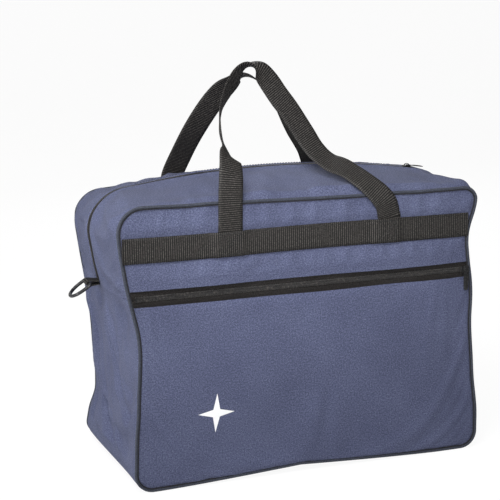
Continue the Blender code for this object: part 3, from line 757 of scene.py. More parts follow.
# Above the zip: a lip that falls evenly to the band, and a low swell that ends at the top seam.
def upperBulge(share, z):
    lip = panel["lipBulge"] * np.clip((bandLow.z - z) / (bandLow.z - upperBottom), 0, 1) * (1 - share**8)
    ends = rise(z, upperBottom, 0.012) * smoothStep((bagHeight - 0.006 - z) / 0.022)
    return lip + panel["upperBulge"] * ends * (1 - share**6)


# The back: one low sine from the base to just under its band, flat-topped across.
def rearBulge(share, z):
    under = np.clip(z / (bandLow.z - 0.006), 0, 1)
    return panel["rearBulge"] * np.sin(np.pi * under**1.3) * (1 - share**4) * 0.3


# The three outermost lines on every side of a grid, which are sewn.
def heldEdges(points):
    held = np.zeros(points.shape[:2], bool)
    for place in (np.s_[:3], np.s_[-3:], np.s_[:, :3], np.s_[:, -3:]):
        held[place] = True
    return held


pocketGrid, pocketUv = panelGrid(0, pocketTop, -1, pocketBulge, 11)
pocketGrid = drape(pocketGrid, heldEdges(pocketGrid), 0.004, 0.0035)
makeSheet("pocket_panel", settle(pocketGrid), pocketUv, nodes=("front_pocket_panel",))
for pieceName, nodeName, bottom, sideSign, swell, seed, slack, cap in (
    ("upper_panel", "front_upper_panel", upperBottom, -1, upperBulge, 23, 0.012, 0.0022),
    ("back_panel", "rear_panel", 0, 1, rearBulge, 37, 0.006, 0.003),
):
    grid, gridUv = panelGrid(bottom, bagHeight, sideSign, swell, seed)
    sewn = heldEdges(grid) | (underBand(grid[..., 2]) > 0.8)
    makeSheet(pieceName, settle(drape(grid, sewn, slack, cap)), gridUv, nodes=(nodeName,))
print("panels made")


liner = {
    "columns": 41,
    "inset": 0.0035,
    "behind": 0.0008,
    "dents": 0.0004,
    "dentSize": 0.09,
    "shelfBehind": 0.0022,
}


# The pocket's inner wall, and the shelf that joins it to the seam above the zip.
def makePocketLiner():
    low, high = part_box("pocket_liner")
    z = panelHeights(0, high.z)[:, None]
    share = np.linspace(-1, 1, liner["columns"])[None, :]
    x, z = halfAt(z, share, liner["inset"]) * share, z + 0 * share
    y = high.y - liner["behind"] + liner["dents"] * dents(x, z, liner["dentSize"], 5)
    points = together(x, y, z)
    shelf = points[-1:].repeat(5, 0)
    shelf[..., 1] += np.linspace(0, 1, 6)[1:, None] * (-panelFace + liner["shelfBehind"] - high.y)
    points = np.concatenate((points, shelf))
    uv = together(points[..., 0], points[..., 2] - points[..., 1])
    makeSheet("pocket_lining", settle(points), uv, "lining", nodes=("pocket_liner",), lined=False, refine=0)


makePocketLiner()


folds = {
    # Each crease of the side: its weight and its places in depth and height.
    "creases": (
        (1.0, (
            (0.059, 0.165), (0.048, 0.137), (0.046, 0.110), (0.036, 0.070), (-0.005, 0.042), (-0.046, 0.010),
        )),
        (0.85, ((-0.004, 0.168), (-0.020, 0.131), (-0.040, 0.099), (-0.074, 0.076))),
    ),
    "depth": 0.0060,
    "reach": 0.0066,
    "pillow": 0.55,  # the swell beside a crease, as a share of its depth
    "dents": 0.0022,
    "dentSize": 0.075,
    "ripples": 0.0011,
    "rippleSize": 0.035,
    "fade": 0.02,  # the relief dies out this far from every seam
    "slack": 0.010,
    "cap": 0.0035,
    "rows": 62,
    "columns": 63,
}


# Distance from points in depth and height to a line of straight stretches.
def foldDistance(y, z, line):
    nearest = np.full(np.shape(y), 1.0)
    for (y0, z0), (y1, z1) in zip(line, line[1:]):
        dy, dz = y1 - y0, z1 - z0
        t = np.clip(((y - y0) * dy + (z - z0) * dz) / (dy * dy + dz * dz), 0, 1)
        nearest = np.minimum(nearest, np.hypot(y - y0 - t * dy, z - z0 - t * dz))
    return nearest


# How far the side cloth stands out or in: dents and ripples, and creases that fall off
# exponentially, each between two soft pillows.
def sideRelief(y, z, side):
    far = np.clip((halfDepth - np.abs(y)) / folds["fade"], 0, 1)
    far = far * np.clip((seamHeight - z) / folds["fade"], 0, 1)
    relief = folds["dents"] * dents(y, z, folds["dentSize"], 41 - side)
    relief = relief + folds["ripples"] * dents(1.6 * y, 0.6 * z, folds["rippleSize"], 43 - side)
    for weight, line in folds["creases"]:
        away = foldDistance(-side * y, z, line) / folds["reach"]
        pillow = folds["pillow"] * np.exp(-(((away - 1.6) / 0.9) ** 2))
        relief = relief - weight * folds["depth"] * (np.exp(-away) - pillow)
    return relief * smoothStep(far) * rise(z, sewnBox["baseCorner"], folds["fade"])


# One side from the seam at the zip's end down to the base corner.
def makeSideGusset(name, side):
    run = np.linspace(seamRun, baseRun, folds["rows"])[:, None]
    y = np.linspace(-1, 1, folds["columns"])[None, :] * (halfDepth - sewnBox["piping"])
    points = gusset(side * run, y)
    points[..., 0] += side * sideRelief(points[..., 1], points[..., 2], side)
    points = drape(points, heldEdges(points), folds["slack"], folds["cap"])
    makeSheet(f"side_{name}", settle(points), together(y, run), nodes=(f"side_gusset_{name}",))


for sideName, sideSign in (("left", -1), ("right", 1)):
    makeSideGusset(sideName, sideSign)


# The base: round both lower corners and flat between, its front edge following the lifted seam.
def makeBase():
    right = np.linspace(baseRun, wholeRun, 44)
    run = np.r_[right, -right[::-1][1:]]
    y = np.linspace(-1, 1, 41)[None, :] * (halfDepth - sewnBox["piping"])
    points = gusset(run[:, None], y)
    points[..., 2] = np.maximum(points[..., 2], 0.0)
    along = np.cumsum(np.r_[0, np.abs(np.diff(np.abs(run)))])
    makeSheet("base_cloth", settle(points), together(along[:, None], y), nodes=("base_gusset",), refine=0)


makeBase()

mouth = {
    "middle": 0.055,  # half the stretch of flap that swings whole
    "hem": 0.0003,
    "hemWidth": 0.0045,
    "lip": 0.0070,
    "lipRows": (0.0075, 0.0081, 0.0089, 0.0100, 0.0115),
    "lipDrop": 0.0007,
    "lipTurn": 0.0014,
    "stripRows": (0.0900, 0.0930, 0.0955),
    "sewnTo": 0.0105,
    "corner": (0.165, 0.02),  # start and reach of the stronger dents in the corners
    "dents": (0.0010, 0.0014),  # along the top, and added in the corners
    "ripples": (0.0004, 0.0006),
    "puckers": 0.0007,
    "roll": 0.0042,
    "rollDrop": 0.0006,
    "slack": 0.010,
    "cap": 0.0028,
}


# How far the upper gusset stands out: a hem beside the zip, its lip turned down, dents and ripples
# that grow in the corners, and puckers beside the piping.
def upperRelief(runs, across, side):
    past = across - mouth["lip"]
    hem = smoothStep(past / mouth["lipTurn"]) * (1 - rise(past, mouth["hemWidth"], 0.002))
    inside = rise(across, 0.011, 0.02) * smoothStep((halfDepth - across) / 0.02)
    corner = rise(np.abs(runs), *mouth["corner"])
    (dent, cornerDent), (ripple, cornerRipple) = mouth["dents"], mouth["ripples"]
    relief = (dent + cornerDent * corner) * dents(runs, across, 0.07, 53 + side) * inside
    waves = dents(runs * 1.6, across * 0.7, 0.03, 57 + side)
    relief = relief + (ripple + cornerRipple * corner) * waves * inside
    relief = relief + mouth["hem"] * hem - mouth["lipDrop"] * (1 - smoothStep(past / mouth["lipTurn"]))
    relief = relief + mouth["puckers"] * dents(runs, 0 * runs, 0.020, 59 + side) * rise(across, 0.080, 0.008)
    return relief * smoothStep((halfDepth - sewnBox["piping"] - across) / 0.004)


# A roll of cloth that turns a quarter circle down beneath the flap from its hinge.
def makeHingeRoll(name, side, edge, run):
    turn = np.linspace(0, np.pi / 2, 6)
    roll = edge[:, None].repeat(len(turn), 1)
    roll[..., 1] -= side * mouth["roll"] * np.sin(turn) * 0.95
    roll[..., 2] -= mouth["rollDrop"] * smoothStep(3 * turn) + mouth["roll"] * (1 - np.cos(turn))
    makeSheet(f"hinge_roll_{name}", roll, together(run[:, None], roll[..., 1]), refine=0)


# The upper gusset of one side as a single sheet from the zip's lip to the piping, simulated whole
# and then cut along the flap's hinge and the mouth's ends, so its pieces meet exactly.
def makeUpperGusset(name, side):
    half = np.r_[np.linspace(0, mouth["middle"], 16), np.linspace(mouth["middle"], mouthEnd, 28)[1:]]
    half = np.r_[half, np.linspace(mouthEnd, seamRun, 44)[1:]]
    run = np.r_[-half[::-1], half[1:]]
    y = np.r_[mouth["lip"], mouth["lipRows"], np.linspace(0.0135, hingeDepth, 22)]
    y = np.r_[y, mouth["stripRows"], halfDepth - sewnBox["piping"]]
    runs, across = run[:, None] + 0 * y, y[None, :] + 0 * run[:, None]
    points = gusset(runs, side * across)
    points += gussetNormal(runs, across) * upperRelief(runs, across, side)[..., None]
    hinged = (np.abs(across - hingeDepth) < 0.0016) & (np.abs(runs) < mouthEnd)
    held = heldEdges(points) | (across < mouth["sewnTo"]) | hinged
    points = settle(drape(points, held, mouth["slack"], mouth["cap"]))
    uv = together(runs, side * across)
    hinge = int(np.argmin(np.abs(y - hingeDepth)))
    cuts = (-mouthEnd, -mouth["middle"], mouth["middle"], mouthEnd)
    first, low, high, last = (int(np.argmin(np.abs(run - at))) for at in cuts)
    flapPart = np.s_[low:high + 1, :hinge + 1]
    makeSheet(f"flap_{name}", points[flapPart], uv[flapPart], body=f"top_{name}", nodes=(f"top_flap_{name}",))
    for label, rows, start, end in (
        ("left", slice(first, low + 1), -mouth["middle"], -mouthEnd),
        ("right", slice(high, last + 1), mouth["middle"], mouthEnd),
    ):
        flap = makeSheet(f"flap_{name}_{label}", points[rows, :hinge + 1], uv[rows, :hinge + 1], body=None)
        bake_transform(flap)
    makeHingeRoll(name, side, points[first:last + 1, hinge], run[first:last + 1])
    strip = np.s_[first:last + 1, hinge:]
    makeSheet(f"top_strip_{name}", points[strip], uv[strip], nodes=(f"upper_gusset_{name}",))
    makeSheet(f"corner_{name}_left", points[:first + 1], uv[:first + 1])
    makeSheet(f"corner_{name}_right", points[last:], uv[last:])


for sideName, sideSign in (("front", -1), ("rear", 1)):
    makeUpperGusset(sideName, sideSign)
print("gussets made")


piping = {
    "sides": 12,
    "steps": 520,
    "wobble": 0.00022,
    # Each cord's look, its inset from the outline, its depth from the bag's middle and its radius.
    "cord": ("piping", 0.0017, halfDepth - 0.0012, sewnBox["piping"]),
    "binding": ("binding", 0.0052, 0.0930, 0.0012),
    # A near-black tube that paints the shadow in the seam's ditch.
    "painted_shadow": ("binding", 0.0037, panelFace + 0.0005, 0.0007),
}


# A round cord along the outline with a slight waver, the taped seam behind it, and a thin near-black tube in
# the ditch between the cord and the panel, which paints the seam's shadow.
def makePiping(name, side):
    run = np.linspace(-wholeRun, wholeRun, piping["steps"], endpoint=False)
    for label, part, node in (
        (f"piping_{name}_cord", "cord", f"piping_{name}"),
        (f"binding_{name}_tape", "binding", f"seam_binding_{name}"),
        (f"seam_{name}_ditch", "painted_shadow", None),
    ):
        look, inset, depth, radius = piping[part]
        x, z, out, up, turn = outline(run, inset)
        z = np.maximum(z, radius)
        centre = settle(together(x, side * depth, z))
        waver = piping["wobble"] * dents(run, 0 * run, 0.05, 61 + side)
        outwards = np.stack((out, 0 * out, up), -1)
        centre = centre + outwards * waver[:, None] * (z > 0.004)[:, None]
        along = tangents(centre, True)
        outwards = unit(outwards - along * np.sum(along * outwards, 1)[:, None])
        sideways = np.cross(along, outwards)
        around = np.arange(piping["sides"]) * 2 * np.pi / piping["sides"]
        profile = radius * np.stack((np.cos(around), np.sin(around)), -1)
        rings = sweep(centre, outwards, sideways, profile)
        uv = together(run[:, None] + 0.7 * radius * around, radius * around[None])
        makeSwept(label, rings, look, "root", (node,) if node else (), uv, closed=True)


makePiping("front", -1)
makePiping("rear", 1)
print("piping made")


webbing = {
    "width": 0.026,
    "thickness": 0.0014,
    "pitch": 0.0022,
    "ribHeight": 0.26,  # share of the thickness
    "samples": 4,  # stations in each rib
    "selvage": 0.55,  # share of the thickness lost at the edges
    "proud": 0.0014,  # how far the bands stand off the panels
    "overEnds": 0.0018,  # and more where they cross the handle ends
    "endHalf": 0.0215,
    "endEase": 0.009,
}


# Profile of a strap: flat top and bottom, thinning with the eighth power towards its selvages.
def strapProfile(width, thickness, steps=9):
    share = np.linspace(-1, 1, steps)
    height = thickness / 2 * (1 - webbing["selvage"] * np.abs(share) ** 8)
    top = np.stack((share * width / 2, height), -1)
    bottom = np.stack((share[::-1] * width / 2, -height[::-1]), -1)
    return np.concatenate((top, bottom))


# A strap along a path that carries its across direction: ribs swell it at an even pitch.
def strapRings(path, wide, width=None, thickness=None):
    width, thickness = width or webbing["width"], thickness or webbing["thickness"]
    length = pathLengths(path)[-1]
    count = int(length / webbing["pitch"]) * webbing["samples"] + 1
    at = np.linspace(0, length, count)
    both = resample(np.concatenate((path, wide), 1), at)
    centre, along = both[:, :3], tangents(both[:, :3])
    wide = both[:, 3:]
    wide = unit(wide - along * np.sum(along * wide, 1)[:, None])
    facing = np.cross(along, wide)
    ribs = 1 + webbing["ribHeight"] * np.cos(2 * np.pi * at / webbing["pitch"])
    profile = strapProfile(width, thickness)
    return sweep(centre, wide, facing, profile, ribs), together(at[:, None], profile[None, :, 0])


handleLegs = {"front": (-0.084, 0.093), "rear": (-0.088, 0.088)}


# The middle line of a band: straight across the panel, stepped out over both handle ends.
def bandPath(name, side):
    x = np.linspace(-1, 1, 400) * (halfWidth - 0.0040)
    inside = (webbing["endHalf"] - np.abs(x - leg) for leg in handleLegs[name])
    over = sum(smoothStep(depth / webbing["endEase"]) for depth in inside)
    out = panelFace + webbing["proud"] + webbing["overEnds"] * over
    y = side * (out + 0.0002 * dents(x, 0 * x, 0.06, 71 + side))
    z = (bandLow.z + bandHigh.z) / 2 + 0.0003 * dents(x, 0 * x, 0.15, 73)
    return settle(together(x, y, z))


bandPaths = {}
for sideName, sideSign in (("front", -1), ("rear", 1)):
    path = bandPaths[sideName] = bandPath(sideName, sideSign)
    rings, uv = strapRings(path, np.tile((0, 0, 1.0), (len(path), 1)))
    makeSwept(f"band_{sideName}_webbing", rings, "webbing", "root", (f"band_{sideName}",), uv)

# A handle's route: x, y and z of its middle line, and its turn in degrees about that line,
# 0 where its width lies front to back and 90 where it faces the front.
handleRoutes = {
    "front": (
        (-0.084, -0.0996, 0.2450, -90), (-0.084, -0.0997, 0.264, -90), (-0.084, -0.1008, 0.272, -90),
        (-0.084, -0.1030, 0.301, -88), (-0.082, -0.1000, 0.323, -88), (-0.079, -0.0900, 0.338, -76),
        (-0.079, -0.0780, 0.346, -30), (-0.081, -0.0700, 0.358, -17), (-0.080, -0.0600, 0.372, -18),
        (-0.075, -0.0500, 0.390, -28), (-0.064, -0.0420, 0.407, -42), (-0.053, -0.0360, 0.4195, -46),
        (-0.043, -0.0320, 0.4275, -30), (-0.033, -0.0300, 0.4290, 10), (-0.0245, -0.0300, 0.4240, 56),
        (-0.0150, -0.0300, 0.4125, 72), (-0.005, -0.0320, 0.397, 74), (0.007, -0.0340, 0.380, 74),
        (0.022, -0.0380, 0.355, 74), (0.032, -0.0440, 0.338, 66), (0.042, -0.0560, 0.327, 54),
        (0.056, -0.0760, 0.319, 54), (0.072, -0.0960, 0.3045, 64), (0.086, -0.1035, 0.288, 82),
        (0.092, -0.1008, 0.272, 90), (0.093, -0.0997, 0.264, 90), (0.093, -0.0996, 0.245, 90),
    ),
    "rear": (
        (-0.088, 0.0996, 0.2450, -90), (-0.088, 0.0997, 0.264, -90), (-0.088, 0.1008, 0.272, -90),
        (-0.088, 0.1030, 0.286, -90), (-0.088, 0.1020, 0.300, -90), (-0.082, 0.0840, 0.325, -90),
        (-0.075, 0.0580, 0.353, -90),
        (-0.065, 0.0360, 0.379, -88), (-0.055, 0.0200, 0.398, -80), (-0.046, 0.0100, 0.409, -60),
        (-0.037, 0.0040, 0.416, -30), (-0.025, 0.0040, 0.416, 0), (-0.013, 0.0060, 0.410, 8),
        (0.000, 0.0100, 0.398, 12), (0.011, 0.0160, 0.377, 20), (0.026, 0.0260, 0.355, 30),
        (0.047, 0.0420, 0.334, 50), (0.064, 0.0620, 0.315, 70), (0.081, 0.0900, 0.298, 82),
        (0.087, 0.1025, 0.285, 90), (0.088, 0.1008, 0.272, 90), (0.088, 0.0997, 0.264, 90),
        (0.088, 0.0996, 0.245, 90),
    ),
}


# Smooth curve through every point of a route, ten steps between each two (Catmull-Rom).
def smoothRoute(route, steps=10):
    points = np.array(route, float)
    points = np.concatenate((2 * points[:1] - points[1:2], points, 2 * points[-1:] - points[-2:-1]))
    a, b, c, d = points[:-3, None], points[1:-2, None], points[2:-1, None], points[3:, None]
    t = (np.arange(steps) / steps)[None, :, None]
    curve = (2 * b + (c - a) * t + (2 * a - 5 * b + 4 * c - d) * t**2 + (3 * b - a - 3 * c + d) * t**3) / 2
    return np.concatenate((curve.reshape(-1, points.shape[1]), points[-2:-1]))


# A handle: webbing along its route, its width turned from front to back by the route's angle. It is baked in
# place, with no body of its own.
def makeHandle(name, side):
    line = smoothRoute(handleRoutes[name])
    middle = line[:, :3]
    along = tangents(middle)
    depthwise = unit(np.array((0, 1.0, 0)) - along[:, 1:2] * along)
    turn = np.radians(line[:, 3:])
    wide = np.cos(turn) * depthwise + np.sin(turn) * np.cross(along, depthwise)
    rings, uv = strapRings(middle, wide)
    nodes = (f"handle_{name}", f"handle_end_{name}_left", f"handle_end_{name}_right")
    handle = makeSwept(f"handle_{name}_webbing", rings, "webbing", None, nodes, uv)
    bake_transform(handle)


makeHandle("front", -1)
makeHandle("rear", 1)
print("webbing made")


zipSizes = {
    "tapeDepth": 0.0008,
    "tapeThick": 0.0005,
    "tapeAcross": (0.0004, 0.0012, 0.0022, 0.0034, 0.0042, 0.0050, 0.0080, 0.0120),
    "ridge": 0.0004,  # the cord woven into the tape beside the coil
    "ridgeAt": 0.0040,
    "ridgeWidth": 0.0006,
    "pitch": 0.00155,
    "toothRadius": 0.00058,
    "toothHalf": 0.0015,
    "toothAt": 0.0019,
    "toothDepth": 0.0004,
    "hemAt": 0.0090,
    "hemLift": 0.0006,
    "stopHalf": 0.0042,
    "stopRadius": 0.0011,
    "stopDepth": 0.0010,
}


# Teeth of one coil row on the gusset: bars across the zip, the two rows half a pitch apart.
def gussetTeeth(firstRun, lastRun, side):
    pitch = zipSizes["pitch"]
    number = np.arange(math.ceil(firstRun / pitch), math.floor(lastRun / pitch) + 1)
    run = (number + (0.5 if side > 0 else 0.0)) * pitch
    run = run[(run > firstRun) & (run < lastRun)]
    centre = settle(gusset(run, side * zipSizes["toothAt"], zipSizes["toothDepth"]))
    across = rowOut(len(run), (0, 1.0, 0))
    return centre, across, gussetNormal(run), zipSizes["toothHalf"], zipSizes["toothRadius"]


# One tape of the top zip, with a rounded ridge beside the coil.
def gussetTape(firstRun, lastRun, side):
    run = np.linspace(firstRun, lastRun, max(int((lastRun - firstRun) / 0.003), 3))[:, None]
    y = side * np.array(zipSizes["tapeAcross"])[None, :]
    ridge = zipSizes["ridge"] * np.exp(-(((np.abs(y) - zipSizes["ridgeAt"]) / zipSizes["ridgeWidth"]) ** 2))
    points = settle(gusset(run, y, zipSizes["tapeDepth"] - ridge))
    return points, together(run, y)


# One flap's half of the zip in three stretches: the middle swings with the flap, and the two beside it run
# from the flap to the closed ends, baked in place.
def makeTopZip(name, side):
    flapBody, middle = f"top_{name}", mouth["middle"]
    stretches = (("", -middle, middle), ("_left", -mouthEnd, -middle), ("_right", middle, mouthEnd))
    for label, start, end in stretches:
        body = None if label else flapBody
        nodes = () if label else (f"main_zip_tape_{name}", f"main_zip_coil_{name}")
        points, uv = gussetTape(start, end, side)
        thick = zipSizes["tapeThick"]
        tape = makeSheet(f"zip_tape_{name}{label}", points, uv, "tape", body, nodes[:1], thick, False, 0)
        teeth = makeBars(f"zip_teeth_{name}{label}", [gussetTeeth(start, end, side)], "coil", body, nodes[1:])
        run = np.linspace(start, end, 80)
        seam = settle(gusset(run, side * zipSizes["hemAt"], -zipSizes["hemLift"]))
        hem = makeBars(f"zip_stitches_{name}{label}", [stitchRow(seam, gussetNormal(run))], "thread", body)
        if label:
            for piece in (tape, teeth, hem):
                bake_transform(piece)


# The zip's closed end, from the mouth down to the side seam: both tapes, both rows and a stop.
def makeZipEnd(name, side):
    end = seamRun - 0.002
    first, last = sorted((side * mouthEnd, side * end))
    (front, frontUv), (rear, rearUv) = gussetTape(first, last, -1), gussetTape(first, last, 1)
    points = np.concatenate((front[:, ::-1], rear), 1)
    uv = np.concatenate((frontUv[:, ::-1], rearUv), 1)
    node = f"main_zip_tape_{name}"
    makeSheet(f"zip_tape_end_{name}", points, uv, "tape", "root", (node,), zipSizes["tapeThick"], False, 0)
    rows = [gussetTeeth(first, last, -1), gussetTeeth(first, last, 1)]
    makeBars(f"zip_teeth_end_{name}", rows, "coil", "root", (f"main_zip_coil_{name}",))
    run = np.array((side * (end - 0.001),))
    centre = settle(gusset(run, 0.0, zipSizes["stopDepth"]))
    stop = (centre, np.array(((0, 1.0, 0),)), gussetNormal(run), zipSizes["stopHalf"], zipSizes["stopRadius"])
    makeBars(f"zip_stop_{name}", [stop], "slider", "root", (f"main_zip_stop_{name}",))


makeTopZip("front", -1)
makeTopZip("rear", 1)
makeZipEnd("left", -1)
makeZipEnd("right", 1)


pocketZip = {
    "inset": 0.0035,
    "tapeDepth": 0.0016,
    "tapeAcross": (0.0004, 0.0012, 0.0024, 0.0034, 0.0041, 0.0048, 0.0070, 0.0095, 0.0120),
    "ridge": 0.0005,
    "ridgeAt": 0.0041,
    "ridgeWidth": 0.0006,
    "waves": 0.0003,
    "sink": 0.0005,  # how much deeper the tapes lie under the panels
    "sinkFrom": (0.006, 0.003),
    "coilHalf": 0.190,
    "toothAt": 0.0014,
    "toothDepth": 0.0008,
    "toothHalf": 0.0016,
    "toothRadius": 0.00062,
    "stopAt": 0.1912,
    "stopDepth": 0.0006,
    "stopHalf": 0.0030,
    "stopRadius": 0.0010,
}


# The pocket's zip: two tapes set back in the slot with a ridge each, a row of teeth on each, the
# rows half a pitch apart, and a stop at both ends.
def makePocketZip():
    half = halfWidth - pocketZip["inset"]
    x = np.linspace(-half, half, 130)[:, None]
    away = np.array(pocketZip["tapeAcross"])[None, :]
    upright, forward = (0, 0, 1.0), (0, -1.0, 0)
    for name, side in (("upper", 1), ("lower", -1)):
        ridge = pocketZip["ridge"] * np.exp(-(((away - pocketZip["ridgeAt"]) / pocketZip["ridgeWidth"]) ** 2))
        ridge = ridge + pocketZip["waves"] * dents(x + 0 * away, away + 0 * x, 0.05, 81 + side)
        sink = pocketZip["sink"] * rise(away, *pocketZip["sinkFrom"])
        y = -(panelFace - pocketZip["tapeDepth"] + ridge - sink)
        points, uv = settle(together(x, y, zipHeight + side * away)), together(x, side * away)
        node = f"pocket_zip_tape_{name}"
        makeSheet(f"pocket_tape_{name}", points, uv, "tape", "root", (node,), zipSizes["tapeThick"], False, 0)
        run = np.arange(-pocketZip["coilHalf"], pocketZip["coilHalf"], zipSizes["pitch"])
        run = run + (0.5 if side > 0 else 0) * zipSizes["pitch"]
        height = zipHeight + side * pocketZip["toothAt"]
        centre = settle(together(run, -panelFace + pocketZip["toothDepth"], height))
        across, out = rowOut(len(run), upright), rowOut(len(run), forward)
        row = (centre, across, out, pocketZip["toothHalf"], pocketZip["toothRadius"])
        makeBars(f"pocket_teeth_{name}", [row], "coil", "root", (f"pocket_zip_coil_{name}",))
    for name, side in (("left", -1), ("right", 1)):
        place = (side * pocketZip["stopAt"], -panelFace + pocketZip["stopDepth"], zipHeight)
        half, radius = pocketZip["stopHalf"], pocketZip["stopRadius"]
        stop = (settle(np.array((place,))), rowOut(1, upright), rowOut(1, forward), half, radius)
        makeBars(f"pocket_stop_{name}", [stop], "slider", "root", (f"pocket_zip_stop_{name}",))


makePocketZip()
print("zips made")


# A block with rounded edges: a superellipsoid, nearer a box the smaller its power.
def pebble(centre, axes, halves, power=0.35, rings=13, sides=24):
    up = np.linspace(-np.pi / 2, np.pi / 2, rings)[:, None]
    around = (np.arange(sides) * 2 * np.pi / sides)[None, :]

    def bent(value):
        return np.sign(value) * np.abs(value) ** power

    local = together(
        halves[0] * bent(np.cos(up)) * bent(np.cos(around)),
        halves[1] * bent(np.cos(up)) * bent(np.sin(around)),
        halves[2] * bent(np.sin(up)),
    )
    points = local[1:-1].reshape(-1, 3)
    points = np.concatenate((points, [(0, 0, -halves[2]), (0, 0, halves[2])]))
    quads = gridFaces(rings - 2, sides, False, True)[:, ::-1]
    last = (rings - 3) * sides
    ring = np.arange(sides)
    low = together(len(points) - 2, (ring + 1) % sides, ring)
    high = together(len(points) - 1, last + ring, last + (ring + 1) % sides)
    return np.asarray(centre) + points @ np.asarray(axes), quads, np.concatenate((low, high))


# A closed loop of flattened wire: an ellipse carried along a path.
def wireLoop(path, normal, thick, wide, sides=10):
    along = tangents(path, True)
    normal = np.tile(np.asarray(normal, float), (len(path), 1))
    sideways = unit(np.cross(along, normal))
    around = np.arange(sides) * 2 * np.pi / sides
    profile = np.stack((wide / 2 * np.cos(around), thick / 2 * np.sin(around)), -1)
    rings = sweep(path, sideways, np.cross(sideways, along), profile)
    faces = gridFaces(len(path), sides, True, True)
    points = rings.reshape(-1, 3)
    if facesInwards(points - points.mean(0), faces, True):
        faces = faces[:, ::-1]
    return points, faces, np.zeros((0, 3), int)


# Hard parts joined into one piece, smooth except across edges sharper than 50 degrees.
def makeHardPiece(name, parts, look, body, nodes):
    points, faces, start = [], [], 0
    for p, quads, triangles in parts:
        points.append(p)
        faces += (quads + start).tolist() + (triangles + start).tolist()
        start += len(p)
    points = np.concatenate(points)
    mesh = bpy.data.meshes.new(name)
    mesh.from_pydata(points.tolist(), [], faces)
    mesh.materials.append(looks[look])
    mesh.polygons.foreach_set("use_smooth", np.full(len(mesh.polygons), True))
    mesh.set_sharp_from_angle(angle=math.radians(50))
    obj = addObject(name, mesh)
    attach(obj, body)
    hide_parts(*nodes)
    return obj


# Rounded rectangle of points in a plane, for eyelets and links.
def racetrack(centre, lengthwise, crosswise, halfLength, halfWide, radius, count=40):
    turn = np.arange(count) * 2 * np.pi / count
    length = np.sign(np.cos(turn)) * (halfLength - radius) + radius * np.cos(turn)
    width = np.sign(np.sin(turn)) * (halfWide - radius) + radius * np.sin(turn)
    lengthwise, crosswise = np.asarray(lengthwise), np.asarray(crosswise)
    return np.asarray(centre) + length[:, None] * lengthwise + width[:, None] * crosswise


# A coil zip's slider of rounded blocks: outer wing, its broader nose, inner wing and the neck
# between them. Each row is a place, half lengths and the roundness of the block.
sliderBlocks = (
    ((0, 0, 0.0009), (0.0052, 0.0036, 0.0008), 0.45),
    ((0.0012, 0, 0.0013), (0.0034, 0.0042, 0.0007), 0.6),
    ((0, 0, -0.0024), (0.0044, 0.0032, 0.0006), 0.45),
    ((0.0020, 0, -0.0008), (0.0013, 0.0005, 0.0018), 0.6),
)


# The slider's blocks at a place, with a function that gives places in its own directions.
def sliderParts(origin, along, across, out):
    axes = np.array((along, across, out), float)

    def at(a, b, c):
        return np.asarray(origin) + np.array((a, b, c)) @ axes

    return [pebble(at(*place), axes, halves, power) for place, halves, power in sliderBlocks], at, axes


mainSlider = {
    "place": 0.1605,  # distance from the bag's middle plane
    "bridge": (0.0032, 0.0012, 0.0027),  # half length, height of its feet and rise
    "linkAt": (0.0028, 0, 0.0024),
    "link": (0.0031, 0.0021, 0.0016),  # half length, half width and corner radius
    "linkWire": (0.0009, 0.0011),
    "tab": (
        ((0.0128, 0, 0.0024), (0.0073, 0.0027, 0.00050), 0.4),
        ((0.0128, 0, 0.0026), (0.0056, 0.0017, 0.00055), 0.5),
    ),
}
pocketSlider = {
    "stud": (
        ((0, 0, 0.0024), (0.0012, 0.0012, 0.0012), 0.8),
        ((0, 0, 0.0036), (0.0021, 0.0021, 0.0005), 0.7),
    ),
    "eyeAt": (0, 0, 0.0029),
    "eye": (0.0026, 0.0026, 0.00255),
    "eyeWire": (0.0009, 0.0012),
    "tab": (
        ((0, -0.0128, 0.0029), (0.0028, 0.0102, 0.00055), 0.4),
        ((0, -0.0140, 0.0031), (0.0018, 0.0080, 0.00060), 0.5),
    ),
}


# The main slider on the ridge's arc, with a bridge of short blocks over its half circle, and the
# pull: a link through the bridge and a tab with a raised middle.
def makeMainSlider():
    centre = np.array((0, 0, sewnBox["ridgeTop"] - sewnBox["ridgeRadius"]))
    turn = math.asin(mainSlider["place"] / sewnBox["ridgeRadius"])
    along = np.array((math.cos(turn), 0, -math.sin(turn)))
    out = np.array((math.sin(turn), 0, math.cos(turn)))
    origin = centre + out * sewnBox["ridgeRadius"]
    parts, at, axes = sliderParts(origin, along, (0, -1.0, 0), out)
    reach, low, tall = mainSlider["bridge"]
    bend = np.linspace(0, np.pi, 9)
    arch = np.array([at(-reach * math.cos(b), 0, low + tall * math.sin(b) ** 0.7) for b in bend])
    for place, ahead in zip((arch[1:] + arch[:-1]) / 2, np.diff(arch, axis=0)):
        tilt = np.array((unit(ahead), (0, -1.0, 0), np.cross(unit(ahead), (0, -1.0, 0))))
        parts.append(pebble(place, tilt, (np.linalg.norm(ahead) * 0.62, 0.0010, 0.00042), 0.6, 7, 12))
    makeHardPiece("main_slider_body", parts, "slider", "main_slider", ("main_slider",))
    link = racetrack(at(*mainSlider["linkAt"]), along, (0, 1.0, 0), *mainSlider["link"])
    pull = [wireLoop(link, out, *mainSlider["linkWire"])]
    pull += [pebble(at(*place), axes, halves, power) for place, halves, power in mainSlider["tab"]]
    makeHardPiece("main_pull_tab", pull, "slider", "main_pull", ("main_pull",))


